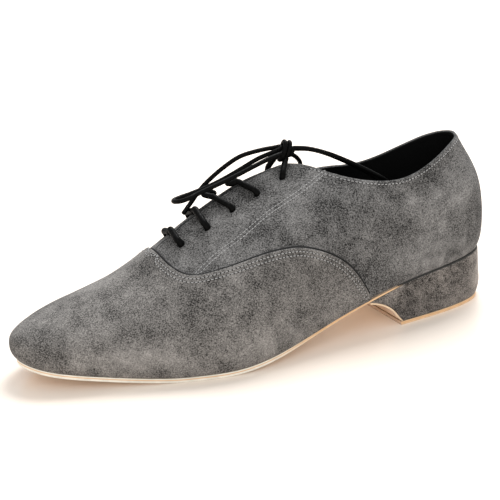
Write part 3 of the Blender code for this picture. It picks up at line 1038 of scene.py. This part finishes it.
@dataclass
class Uppers:
    """The suede pieces: quarters with their lining, the vamp over them and the tongue under the facings."""

    palette: Palette
    sharpness: dict[str, float] = field(
        default_factory=lambda: {"upper": 0.35, "vamp": 0.6, "tongue": 0.4}
    )
    creases: tuple[SoftCrease, ...] = (
        SoftCrease((203.0, 34.0, 40.0), (0.25, 0.6, -0.76), 26.0, 7.0, 0.45),
        SoftCrease((213.0, 30.0, 38.0), (0.2, 0.62, -0.76), 22.0, 6.0, 0.35),
        SoftCrease((203.0, -30.0, 40.0), (0.25, -0.6, -0.76), 26.0, 7.0, 0.45),
        SoftCrease((213.0, -26.0, 38.0), (0.2, -0.62, -0.76), 22.0, 6.0, 0.35),
    )
    # Painted light and shade: lighter low sides and back, a darker quarter, shade beside the bars on the
    # facings.
    light_zones: tuple[PaintedLightZone, ...] = (
        PaintedLightZone((238.0, 40.0, 14.0), (50.0, 25.0, 11.0), 0.6),
        PaintedLightZone((180.0, 50.0, 30.0), (26.0, 25.0, 14.0), 0.06),
        PaintedLightZone((270.0, 24.0, 24.0), (10.0, 12.0, 9.0), 0.28),
        PaintedLightZone((126.0, 42.0, 44.0), (24.0, 20.0, 12.0), -0.34),
        PaintedLightZone((112.0, 33.0, 66.0), (26.0, 25.0, 15.0), 0.03),
        PaintedLightZone((120.0, 16.0, 90.0), (20.0, 20.0, 8.0), -0.02),
        PaintedLightZone((36.0, 25.0, 62.0), (26.0, 35.0, 24.0), 0.28),
        PaintedLightZone((35.0, 28.0, 36.0), (28.0, 20.0, 9.0), 0.88),
        PaintedLightZone((160.0, 50.0, 12.0), (25.0, 20.0, 10.0), 0.52),
        PaintedLightZone((164.0, 23.0, 73.0), (18.0, 15.0, 10.0), 0.3),
        PaintedLightZone((126.0, 5.0, 96.5), (9.0, 8.0, 6.0), -0.35),
        PaintedLightZone((147.0, 5.0, 90.5), (8.0, 8.0, 6.0), -0.4),
        PaintedLightZone((163.0, 5.0, 84.0), (8.0, 8.0, 6.0), -0.4),
        PaintedLightZone((178.0, 6.0, 76.5), (7.0, 8.0, 6.0), -0.35),
    )

    def build(self) -> None:
        """Make the three pieces."""
        lining = "lining_leather"
        self.upper = self.walled("upper", "quarters", "suede_quarters", lining, "suede_turned_edge_shade")
        self.vamp = self.walled("vamp", "vamp_overlay", "suede_vamp", lining, "suede_cut_edge_highlight")
        self.walled("tongue", "tongue_flap", "suede_tongue", lining, "suede_tongue")

    def walled(self, node: str, name: str, *finishes: str) -> Piece:
        """Make one walled piece from its solid.

        Args:
            node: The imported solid.
            name: The piece's name.
            finishes: Its finishes outside, inside and on the edges.

        Returns:
            The finished piece.
        """
        piece = copy_of(node, name)
        mark_skins(piece)
        round_off(piece, self.sharpness[node])
        self.fold(piece)
        paint_light_zones(piece, self.light_zones)
        self.palette.dress(piece, *finishes)
        return settle(piece, "suede", node)

    def fold(self, piece: Piece) -> None:
        """Press the creases into a piece.

        Args:
            piece: A suede piece.
        """
        points = points_of(piece.data)
        places = to_shoe(points)
        sink = sum(crease.fall(places) for crease in self.creases)
        set_points(piece.data, points - normals_of(piece.data) * (sink * MM)[:, None])


@dataclass
class Bottom:
    """The sole, the insole and the covered heel with its breast leather and top piece."""

    palette: Palette
    bevels: dict[str, float] = field(default_factory=lambda: {
        "outsole": 0.45, "top_piece": 0.4, "heel": 0.4, "breast_cover": 0.25, "insole": 0.5,
    })
    seat: Span = (61.5, 89.5)
    seat_inset: float = 0.6
    seat_from: float = 0.6
    lap: float = 0.85
    lap_reach: float = 0.75
    lap_from: Span = (0.5, 0.8)
    over_heel: float = 15.0
    breast: float = 90.0
    flat_from: float = 0.55
    side_from: float = 0.6
    front_from: float = 0.6
    # Painted light and shade on the heel: lighter at its back, darker low towards its front and side.
    light_zones: tuple[PaintedLightZone, ...] = (
        PaintedLightZone((4.0, 0.0, 18.0), (11.0, 40.0, 14.0), 0.8),
        PaintedLightZone((64.0, 32.0, 8.0), (12.0, 20.0, 10.0), -0.55),
        PaintedLightZone((24.0, 24.0, 20.0), (8.0, 20.0, 10.0), -0.2),
    )

    def build(self) -> None:
        """Make the five pieces."""
        self.flat("outsole", "leather_sole", "sole_leather", "sole_edge", "seat_gap_shade")
        self.flat("top_piece", "heel_lift", "sole_leather", "sole_edge", "breast_leather")
        heel = self.plain("heel", "covered_heel", "heel_suede", "suede_heel")
        paint_light_zones(heel, self.light_zones)
        self.lap_over(heel)
        self.plain("breast_cover", "heel_breast", "sole_leather", "breast_leather", "breast_edge")
        self.plain("insole", "insole_sock", "lining", "sock_leather")

    def plain(self, node: str, name: str, slot: str, *finishes: str) -> Piece:
        """Make a piece from its solid, with its edges softened.

        Args:
            node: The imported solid.
            name: The piece's name.
            slot: The record's material slot.
            finishes: Its finish, and a second one for its sides if they have their own.

        Returns:
            The finished piece.
        """
        piece = copy_of(node, name)
        if len(finishes) > 1:
            sides = [int(abs(polygon.normal.y) > self.side_from) for polygon in piece.data.polygons]
            piece.data.polygons.foreach_set("material_index", sides)
        round_off(piece, 1.0)
        soften_edges(piece, self.bevels[node])
        self.palette.dress(piece, *finishes)
        return settle(piece, slot, node)

    def flat(self, node: str, name: str, *finishes: str) -> None:
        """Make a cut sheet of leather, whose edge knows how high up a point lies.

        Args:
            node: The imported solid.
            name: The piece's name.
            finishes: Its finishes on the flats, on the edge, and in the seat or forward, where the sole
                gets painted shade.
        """
        piece = copy_of(node, name)
        mesh = piece.data
        upward = np.zeros(len(mesh.vertices))
        for polygon in mesh.polygons:
            lies_flat = abs(polygon.normal.z) > self.flat_from
            polygon.material_index = Cut.FLAT if lies_flat else Cut.EDGE
            if polygon.normal.z > self.flat_from:
                upward[list(polygon.vertices)] = 1.0
        set_numbers(mesh, "edge_height", upward)
        round_off(piece, 1.0)
        soften_edges(piece, self.bevels[node])
        self.draw_in(piece)
        # Faces in the seat and forward faces get the third finish: painted shade on the sole.
        for polygon in mesh.polygons:
            middle = to_shoe(np.array(polygon.center))
            in_seat = self.seat_share(middle[None])[0] > self.seat_from
            in_front = polygon.normal.x > self.front_from and middle[0] < self.breast
            if in_front or (in_seat and polygon.material_index == Cut.FLAT):
                polygon.material_index = Cut.SEAT_OR_FRONT
        self.palette.dress(piece, *finishes)
        settle(piece, "sole_leather", node)

    def lap_over(self, heel: Piece) -> None:
        """Draw the heel's cover up over the thin edge of the sole at the seat.

        Args:
            heel: The finished heel.
        """
        points = points_of(heel.data)
        sole = solid_tree("outsole")
        at_rim = np.array([sole.find_nearest(point)[3] < self.lap_reach * MM for point in points])
        low, high = self.lap_from
        rise = np.clip((self.seat_share(to_shoe(points)) - low) / (high - low), 0.0, 1.0)
        points[:, 2] += at_rim * rise * self.lap * MM
        set_points(heel.data, points)

    def seat_share(self, places: np.ndarray) -> np.ndarray:
        """Say how far places belong to the sole's thin part between the heel and the seat, from 0 to 1."""
        share = np.clip((self.seat[1] - places[:, 0]) / (self.seat[1] - self.seat[0]), 0.0, 1.0)
        return share * (places[:, 2] > self.over_heel)

    def draw_in(self, piece: Piece) -> None:
        """Draw a sheet's rim in under the upper where it lies between the heel and the seat.

        Args:
            piece: The sheet.
        """
        points = points_of(piece.data)
        places = to_shoe(points)
        share = self.seat_share(places)
        set_numbers(piece.data, "seat_share", share)
        inward = unit((np.array([self.seat[0], 0.0, 0.0]) - places) * (1.0, 1.0, 0.0))
        set_points(piece.data, points + inward * share[:, None] * self.seat_inset * MM)


@dataclass
class Stitching:
    """Rows of sewing: two along the vamp's edge, two along each facing and one under the collar."""

    palette: Palette
    uppers: Uppers
    pitch: float = 2.2
    stitch_size: Place = (1.75, 0.55, 0.5)
    hole_size: Place = (0.85, 0.85, 0.3)
    bead_segments: int = 6
    bead_rings: int = 5
    vamp_rows: Span = (2.1, 4.3)
    collar_row: float = 2.0
    facing_gap: float = 2.0
    above_sole: float = 4.0
    collar_ends: float = 112.0
    collar_above: float = 70.0
    # Painted shadow at the foot of the vamp's edge: its offset out, width and height, step and sides.
    shadow_out: float = 0.65
    shadow_size: Span = (0.75, 0.4)
    shadow_step: float = 0.8
    shadow_sides: int = 8
    facing_line: tuple[Place, ...] = (
        (195.4, 31.0, 53.0), (180.5, 28.8, 62.0), (164.0, 27.8, 70.0), (147.1, 24.0, 78.0),
        (129.3, 20.4, 83.9), (114.8, 15.2, 88.4), (107.9, 12.6, 91.1), (104.8, 11.9, 92.1),
    )

    def build(self) -> None:
        """Sew every row."""
        vamp, upper = Surface(self.uppers.vamp), Surface(self.uppers.upper)
        rows = []
        seam = self.vamp_seam(vamp)
        for distance in self.vamp_rows:
            rows.append((vamp, vamp.beside(seam, distance * MM), True))
        # Painted shadow along the foot of the vamp's edge.
        self.paint_vamp_shadow(vamp, upper, seam)
        collar = self.collar_edge()
        rows.append((upper, upper.beside(collar, self.collar_row * MM), True))
        for side in (1.0, -1.0):
            line = np.array(self.facing_line) * (1.0, side, 1.0)
            route = smooth_route(to_part(line), MM)
            on_upper, _ = upper.nearest(route)
            rows.append((upper, on_upper, False))
            rows.append((upper, self.below(upper, on_upper), False))
        self.sew(rows)

    def vamp_seam(self, vamp: Surface) -> np.ndarray:
        """Find the vamp's sewn edge, from the end of one wing over the throat to the other.

        Args:
            vamp: The vamp's outside.

        Returns:
            Points along it at even steps.
        """
        loop = spaced(rim_loops(vamp.piece)[0], MM, closed=True)
        sole = solid_tree("outsole")
        return open_run(loop, np.array([sole.find_nearest(p)[3] >= self.above_sole * MM for p in loop]))

    def paint_vamp_shadow(self, vamp: Surface, upper: Surface, seam: np.ndarray) -> None:
        """Lay a dark tube on the quarters along the foot of the vamp's edge: a painted shadow of the vamp's
        step.

        Args:
            vamp: The vamp's outside.
            upper: The quarters' outside.
            seam: The vamp's sewn edge.
        """
        foot = seam + unit(seam - vamp.beside(seam, MM)) * self.shadow_out * MM
        line, normals = upper.nearest(spaced(foot, self.shadow_step * MM))
        across = unit(np.cross(normals, unit(np.gradient(line, axis=0))))
        turns = np.linspace(0.0, math.tau, self.shadow_sides, endpoint=False)
        wide, high = self.shadow_size
        rings = [
            line + (across * (math.cos(t) * wide) + normals * (math.sin(t) * high)) * MM for t in turns
        ]
        points = np.stack(rings, axis=1).reshape(-1, 3)
        piece = new_piece("vamp_edge_shadow", points, tube_faces(len(line), self.shadow_sides))
        self.palette.dress(piece, "needle_hole")
        settle(piece, "suede")

    def collar_edge(self) -> np.ndarray:
        """Find the collar's edge from one facing's top round the back to the other's.

        Returns:
            Points along it at even steps.
        """
        loop = spaced(top_line(self.uppers.upper), MM, closed=True)
        places = to_shoe(loop)
        return open_run(loop, (places[:, 0] < self.collar_ends) & (places[:, 2] > self.collar_above))

    def below(self, upper: Surface, line: np.ndarray) -> np.ndarray:
        """Draw the second row of a facing, further from the eyelets than the first.

        Args:
            upper: The quarters' outside.
            line: The first row.

        Returns:
            Points of the second row.
        """
        _, normals = upper.nearest(line)
        across = unit(np.cross(normals, np.gradient(line, axis=0)))
        across *= -np.sign(across[:, 2:3])
        return upper.nearest(line + across * self.facing_gap * MM)[0]

    def sew(self, rows: list[tuple[Surface, np.ndarray, bool]]) -> None:
        """Lay a stitch at every step of every row, and a needle hole's painted shade between stitches where
        holes show.

        Args:
            rows: The surface and the line of each row, and whether its holes show.
        """
        stitches, needle_holes = [], []
        for surface, line, holes in rows:
            steps = spaced(line, self.pitch * MM / 2)
            places, normals = surface.nearest(steps)
            spots = list(zip(places, np.gradient(steps, axis=0), normals))
            stitches += spots[::2]
            needle_holes += spots[1::2] if holes else []
        self.scatter("stitches", self.stitch_size, stitches, "sewing_thread")
        # Dark beads: painted shade of the needle holes.
        self.scatter("needle_holes", self.hole_size, needle_holes, "needle_hole")

    def bead(self, size: Place) -> tuple[np.ndarray, list[Sequence[int]]]:
        """Model one small rounded shape, long along x.

        Args:
            size: Its size along the row, across it and along the surface's normal, in millimetres.

        Returns:
            Its points in metres and its faces.
        """
        bpy.ops.object.select_all(action="DESELECT")
        bpy.ops.mesh.primitive_uv_sphere_add(
            segments=self.bead_segments, ring_count=self.bead_rings, radius=0.5 * MM,
            rotation=(0.0, math.pi / 2, 0.0),
        )
        shape = bpy.context.active_object
        bpy.ops.object.transform_apply(rotation=True)
        bpy.ops.object.mode_set(mode="EDIT")
        bpy.ops.mesh.select_all(action="SELECT")
        bpy.ops.transform.resize(value=size)
        bpy.ops.object.mode_set(mode="OBJECT")
        points = points_of(shape.data)
        faces = [tuple(p.vertices) for p in shape.data.polygons]
        bpy.data.objects.remove(shape)
        return points, faces

    def scatter(self, name: str, size: Place, spots: list[tuple[np.ndarray, ...]], finish: str) -> None:
        """Copy a small rounded shape to many spots as one piece.

        Args:
            name: The piece's name.
            size: The shape's size in millimetres.
            spots: The place, way along and normal of each copy.
            finish: The piece's finish.
        """
        shape, shape_faces = self.bead(size)
        points, faces = [], []
        for place, along, normal in spots:
            side = unit(np.cross(normal, along))
            axes = np.array([np.cross(side, normal), side, normal])
            faces.extend([tuple(c + len(points) * len(shape) for c in face) for face in shape_faces])
            points.append(place + shape @ axes)
        piece = new_piece(name, np.vstack(points), faces)
        self.palette.dress(piece, finish)
        settle(piece, "suede")


@dataclass(frozen=True)
class Eyelet:
    """A punched hole: its middle, the facing's normal there and the nearest place on the facing's edge."""

    middle: np.ndarray
    normal: np.ndarray
    edge: np.ndarray

    def emerging(self, steps: Sequence[Span], target: np.ndarray) -> list[np.ndarray]:
        """Give the places of a strand that comes out of the hole and turns to a target.

        Args:
            steps: Millimetres gone along the facing and over it.
            target: The place that it heads for.

        Returns:
            The places.
        """
        way = target - self.middle
        way = unit(way - self.normal * (way @ self.normal))
        return [self.middle + way * along * MM + self.normal * over * MM for along, over in steps]


@dataclass(frozen=True)
class Bar:
    """How a bar of the lace crosses the throat, in the shoe's millimetres.

    It leans to the toe, bows over each facing's edge and, drawn tight, is broader than the free lace.
    """

    lean: float
    bows: Span
    girth: float
    slack: tuple[Place, ...] = ()


@dataclass
class Lacing:
    """The lace: straight bars through the eyelets, risers, the knot and the bow's free strands."""

    palette: Palette
    upper: Piece
    radius: float = 1.3
    sides: int = 32
    step: float = 0.36
    strands: int = 4
    lay: float = 5.2
    relief: float = 0.085
    weave: float = 0.25
    clearance: float = 0.5
    edge_step: float = 0.5
    eyelet_count: int = 10
    first_side: Place = (0.3, 0.2, 0.93)
    inside_hole: tuple[Span, ...] = ((-0.3, -2.0), (-0.2, -1.0))
    out_of_hole: tuple[Span, ...] = ((0.0, 0.5), (1.2, 1.7), (2.6, 2.45))
    bars: tuple[Bar, ...] = (
        Bar(1.6, (1.4, 0.0), 1.5),
        Bar(1.4, (1.5, 0.0), 1.5),
        Bar(5.9, (0.8, 0.8), 1.3, (
            (170.6, 0.9, 85.7), (172.5, -0.9, 86.2), (171.7, -3.1, 86.1), (168.2, -4.6, 86.2),
            (164.6, -6.8, 84.6),
        )),
        Bar(6.7, (0.8, 0.8), 1.3, (
            (156.0, 0.4, 90.4), (157.7, -1.3, 90.2), (157.0, -3.6, 89.7), (154.0, -5.8, 89.4),
            (150.8, -8.0, 88.7),
        )),
    )
    riser_girth: float = 1.3
    riser_tips: tuple[Place, Place] = ((123.6, 2.1, 100.0), (127.0, -3.2, 100.9))
    wrap_middle: Place = (122.4, 0.0, 104.3)
    wrap_turns: float = 2.4
    wrap_steps: int = 8
    wrap_start: float = 0.1
    wrap_pitch: float = 3.0
    wrap_tilt: float = 1.3
    wrap_reach: Span = (3.6, 5.2)
    wrap_narrows: float = 0.38
    knot_on: str = "lace_end_outer"
    through_knot: tuple[tuple[Place, ...], ...] = (
        (
            (127.0, -3.2, 100.7), (125.4, -1.6, 102.4), (123.4, 0.2, 103.6), (120.6, 1.4, 104.6),
            (117.9, 1.9, 105.0),
        ),
        ((126.4, 2.9, 103.2), (124.6, 1.6, 103.9), (122.6, -0.8, 103.2), (120.5, -3.1, 101.3)),
        ((127.8, 0.2, 104.6), (125.4, 0.0, 105.6), (125.2, -1.4, 106.2), (127.4, -2.4, 105.9)),
        ((119.6, -0.8, 103.2), (117.9, -2.1, 103.6)),
    )
    free: dict[str, tuple[Place, ...]] = field(default_factory=lambda: {
        "lace_end_outer": (
            (127.4, -2.4, 105.9), (135.0, -3.0, 105.6), (143.6, -3.6, 104.7), (149.2, -4.5, 103.2),
            (154.6, -6.0, 100.2), (162.4, -8.0, 94.7), (170.3, -9.4, 88.1), (178.2, -7.0, 81.5),
            (184.8, -3.2, 77.1),
        ),
        "lace_end_inner": (
            (120.5, -3.1, 101.3), (114.2, -6.0, 98.0), (109.8, -8.8, 93.2), (108.5, -12.2, 88.6),
            (108.1, -15.7, 84.9), (107.5, -18.9, 81.2), (106.6, -21.8, 77.4), (105.4, -24.6, 73.4),
            (103.9, -26.9, 69.4), (102.0, -28.7, 65.3), (99.9, -30.2, 61.2), (98.8, -31.0, 57.1),
        ),
        "lace_loop_front": (
            (126.4, 2.9, 103.2), (134.0, 4.4, 102.2), (143.9, 5.5, 99.7), (156.8, 6.2, 95.9),
            (172.3, 6.5, 91.7), (180.3, 6.5, 89.5), (184.2, 7.2, 88.5), (189.1, 5.6, 87.0),
            (191.2, 0.5, 85.8), (189.1, -4.6, 85.2), (184.2, -6.4, 85.6), (178.6, -6.2, 86.6),
            (168.0, -5.2, 89.3), (158.0, -4.6, 92.6), (148.4, -4.0, 96.5), (138.2, -2.4, 101.2),
            (127.8, 0.2, 104.6),
        ),
        "lace_loop_back": (
            (117.9, 1.9, 105.0), (112.0, 3.4, 104.2), (105.5, 4.4, 102.2), (96.2, 5.0, 98.2),
            (83.7, 5.5, 91.4), (73.2, 6.2, 85.0), (66.6, 6.7, 80.7), (62.3, 4.9, 77.6),
            (60.6, 0.0, 76.1), (62.3, -4.9, 76.7), (66.6, -6.7, 79.8), (73.2, -6.2, 84.2),
            (82.7, -5.3, 90.0), (95.6, -4.6, 97.0), (106.4, -3.5, 101.3), (117.9, -2.1, 103.6),
        ),
    })

    def build(self) -> None:
        """Make the bars, risers, knot and free strands."""
        outer, inner = self.eyelets()
        for number, (near, far, bar) in enumerate(zip(outer, inner, self.bars), start=1):
            route = self.bar_route(near, far, bar)
            self.strand(f"laced_bar_{number}", [route], f"lace_bar_{number}", bar.girth)
        for name, eye, tip in zip(("outer", "inner"), (outer[-1], inner[-1]), to_part(self.riser_tips)):
            route = np.array(eye.emerging(self.inside_hole + self.out_of_hole, tip) + [tip])
            self.strand(f"laced_riser_{name}", [route], f"lace_riser_{name}", self.riser_girth)
        routes = [self.wrap()] + [to_part(route) for route in self.through_knot]
        knot = self.strand("bow_knot", routes, "lace_knot")
        for node, places in self.free.items():
            self.free_strand(node, to_part(places))

    def wrap(self) -> np.ndarray:
        """Wind the strand that holds the bow, from the outer riser's tip round the others and back inside.

        Returns:
            The strand's places in the part's frame.
        """
        count = round(self.wrap_turns * self.wrap_steps)
        places = [self.riser_tips[0]]
        for k in range(1, count + 1):
            turn = math.tau * (k / self.wrap_steps - self.wrap_start)
            done = k / count
            narrow = 1.0 - self.wrap_narrows * done
            places.append((
                self.wrap_middle[0] + self.wrap_pitch * self.wrap_turns * (0.5 - done)
                + self.wrap_tilt * math.cos(turn),
                self.wrap_reach[0] * narrow * math.sin(turn),
                self.wrap_middle[2] - self.wrap_reach[1] * narrow * math.cos(turn),
            ))
        return to_part(places)

    def eyelets(self) -> tuple[list[Eyelet], list[Eyelet]]:
        """Find the eyelets in the finished upper.

        Returns:
            Those of the outer facing and those of the inner one, each from the toe up.
        """
        self.surface = Surface(self.upper)
        self.edge = spaced(top_line(self.upper), self.edge_step * MM, closed=True)
        found = []
        for loop in rim_loops(self.upper)[-self.eyelet_count:]:
            middle = loop.mean(axis=0)
            flat = loop - middle
            normal = unit(np.cross(flat, np.roll(flat, -1, axis=0)).sum(axis=0))
            _, facing = self.surface.nearest(middle[None])
            edge = self.edge[np.linalg.norm(self.edge - middle, axis=1).argmin()]
            found.append(Eyelet(middle, normal * np.sign(normal @ facing[0]), edge))
        found.sort(key=lambda eye: -eye.middle[0])
        outer = [eye for eye in found if eye.middle[1] > MIDDLE_Y]
        return outer, [eye for eye in found if eye.middle[1] < MIDDLE_Y]

    def over_facing(self, eye: Eyelet, lean: float, bow: float) -> list[np.ndarray]:
        """Lay a strand out of an eyelet and over the facing's edge.

        Args:
            eye: The eyelet.
            lean: How far towards the toe it goes over the edge, in millimetres.
            bow: How far above its usual height it goes over the edge.

        Returns:
            Its places.
        """
        over = (self.radius + self.clearance) * MM
        same_side = self.edge[(self.edge[:, 1] - MIDDLE_Y) * (eye.middle[1] - MIDDLE_Y) > 0.0]
        edge = same_side[np.abs(same_side[:, 0] - eye.middle[0] - lean * MM).argmin()]
        start = eye.emerging(self.out_of_hole, edge)
        top = edge + np.array([0.0, 0.0, over + bow * MM])
        straight = (start[-1] + top) / 2
        under, normals = self.surface.nearest(straight[None])
        lift = max(over, (straight - under[0]) @ normals[0])
        return start + [under[0] + normals[0] * lift, top]

    def bar_route(self, near: Eyelet, far: Eyelet, bar: Bar) -> np.ndarray:
        """Lay a bar from one eyelet to the other across the throat.

        Args:
            near: The outer eyelet.
            far: The inner eyelet.
            bar: How it crosses.

        Returns:
            The bar's places, with both ends inside the holes.
        """
        start = self.over_facing(near, bar.lean, bar.bows[0])
        if bar.slack:
            loose = list(to_part(bar.slack))
            end = far.emerging(self.out_of_hole, loose[-1])
        else:
            loose = []
            end = self.over_facing(far, bar.lean, bar.bows[1])
        hidden = [eye.emerging(self.inside_hole, eye.edge) for eye in (near, far)]
        return np.array(hidden[0] + start + loose + end[::-1] + hidden[1][::-1])

    def strand(self, name: str, routes: list[np.ndarray], node: str, girth: float = 1.0) -> Piece:
        """Make a piece of one or more strands in place of a solid.

        Args:
            name: The piece's name.
            routes: The strands' places in the part's frame.
            node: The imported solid.
            girth: How much broader than the free lace it is.

        Returns:
            The finished piece.
        """
        points, faces, heights, total = [], [], [], 0
        for route in routes:
            tube, shell, height = self.braid(smooth_route(route, self.step * MM), girth)
            faces.extend([tuple(c + total for c in face) for face in shell])
            points.append(tube)
            heights.append(height)
            total += len(tube)
        piece = new_piece(name, np.vstack(points), faces)
        set_numbers(piece.data, "braid_height", np.concatenate(heights))
        self.palette.dress(piece, "waxed_lace")
        return settle(piece, "lace", node)

    def braid(self, line: np.ndarray, girth: float) -> tuple[np.ndarray, list[Sequence[int]], np.ndarray]:
        """Sweep a braided round cord along a line.

        Args:
            line: The cord's middle line, at the braid's own steps.
            girth: How much broader than the free lace it is.

        Returns:
            The tube's points, its faces and the braid's height at each point.
        """
        along = unit(np.gradient(line, axis=0))
        side = unit(np.cross(along[0], self.first_side))
        turns = np.linspace(0.0, math.tau, self.sides, endpoint=False)
        rings, heights = [], []
        for k, (place, way) in enumerate(zip(line, along)):
            side = unit(side - way * (side @ way))
            other = np.cross(way, side)
            run = math.tau * k * self.step / self.lay
            right, left = np.sin(self.strands * turns + run), np.sin(self.strands * turns - run)
            crest = np.maximum(np.abs(right), np.abs(left))
            height = 1.0 - 2 * self.weave + self.weave * (right * left) + self.weave * crest
            reach = girth * self.radius * MM * (1.0 - self.relief * (1.0 - height))
            rings.append(place + np.cos(turns)[:, None] * side * reach[:, None]
                         + np.sin(turns)[:, None] * other * reach[:, None])
            heights.append(height)
        last = (len(line) - 1) * self.sides
        ends = [tuple(reversed(range(self.sides))), tuple(range(last, last + self.sides))]
        return np.vstack(rings), tube_faces(len(line), self.sides) + ends, np.concatenate(heights)

    def free_strand(self, node: str, route: np.ndarray) -> None:
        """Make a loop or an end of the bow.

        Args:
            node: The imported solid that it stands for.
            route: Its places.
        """
        piece = self.strand("tied_" + node, [route], node)


@dataclass(frozen=True)
class Lamp:
    """A square lamp that faces the shoe: its place and size in metres, and its power in watts."""

    name: str
    place: Place
    size: float
    power: float


@dataclass
class Studio:
    """White floor, soft light from above and the photograph's camera."""

    aim: Place = (150.0, 0.0, 45.0)
    distance: float = 1000.0
    turn: float = 23.67
    tilt: float = 18.11
    roll: float = 3.14
    lens: float = 128.27
    shift: Span = (0.00734, 0.01856)
    floor_size: float = 12.0
    floor_look: dict[str, object] = field(default_factory=lambda: {
        "Base Color": (0.92, 0.85, 0.78),
        "Roughness": 0.25,
        "Specular IOR Level": 0.5,
        # Painted light: a warm glow that lifts the floor's shade and tints it warm.
        "Emission Color": (1.0, 0.76, 0.54),
        "Emission Strength": 0.1,
    })
    surround: float = 0.75
    lamps: tuple[Lamp, ...] = (
        Lamp("overhead", (-0.55, -0.6, 1.3), 0.8, 26.0),
        Lamp("front", (0.7, 1.3, 0.9), 1.0, 6.0),
    )
    lamp_up: Place = (0.0, 1.0, 0.02)

    def build(self) -> None:
        """Set the camera, floor and lights."""
        scene = bpy.context.scene
        scene.view_settings.view_transform = "Standard"
        self.set_camera(scene)
        self.lay_floor()
        self.light(scene)

    def set_camera(self, scene: bpy.types.Scene) -> None:
        """Stand the camera where the photograph was taken from.

        Args:
            scene: The scene that gets it.
        """
        turn, tilt, roll = (math.radians(a) for a in (self.turn, self.tilt, self.roll))
        back = np.array([math.sin(turn) * math.cos(tilt), math.cos(turn) * math.cos(tilt), math.sin(tilt)])
        right = np.array([-math.cos(turn), math.sin(turn), 0.0])
        up = np.cross(back, right)
        across = math.cos(roll) * right - math.sin(roll) * up
        upright = math.sin(roll) * right + math.cos(roll) * up
        data = bpy.data.cameras.new("camera")
        data.lens = self.lens
        data.shift_x, data.shift_y = self.shift
        camera = bpy.data.objects.new("camera", data)
        scene.collection.objects.link(camera)
        stand(camera, (across, upright, back), to_part(np.array(self.aim) + back * self.distance))
        scene.camera = camera

    def lay_floor(self) -> None:
        """Lay the pale floor; a warm glow in its material is painted light that lifts and warms its shade.
        """
        bpy.ops.object.select_all(action="DESELECT")
        bpy.ops.mesh.primitive_plane_add(size=self.floor_size)
        floor = bpy.context.active_object
        floor.name = "floor"
        material = bpy.data.materials.new("floor_paper")
        material.use_nodes = True
        nodes = Nodes(material.node_tree)
        for name, value in self.floor_look.items():
            nodes.feed(material.node_tree.nodes["Principled BSDF"].inputs[name], value)
        floor.data.materials.append(material)

    def light(self, scene: bpy.types.Scene) -> None:
        """Light the shoe softly from above, with a white surround.

        Args:
            scene: The scene that gets the light.
        """
        world = bpy.data.worlds.new("surround")
        world.use_nodes = True
        background = world.node_tree.nodes["Background"].inputs
        background["Color"].default_value = (1.0, 1.0, 1.0, 1.0)
        background["Strength"].default_value = self.surround
        scene.world = world
        for lamp in self.lamps:
            data = bpy.data.lights.new(lamp.name, "AREA")
            data.size = lamp.size
            data.energy = lamp.power
            item = bpy.data.objects.new(lamp.name, data)
            scene.collection.objects.link(item)
            back = unit(np.array(lamp.place))
            right = unit(np.cross(self.lamp_up, back))
            stand(item, (right, np.cross(back, right), back), lamp.place)


def main() -> None:
    """Build the shoe's looks in order."""
    logging.basicConfig(level=logging.INFO, format="%(name)s: %(message)s")
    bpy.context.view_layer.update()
    Studio().build()
    palette = Palette()
    uppers = Uppers(palette)
    uppers.build()
    Lacing(palette, uppers.upper).build()
    Bottom(palette).build()
    Stitching(palette, uppers).build()


if __name__ == "__main__":
    main()
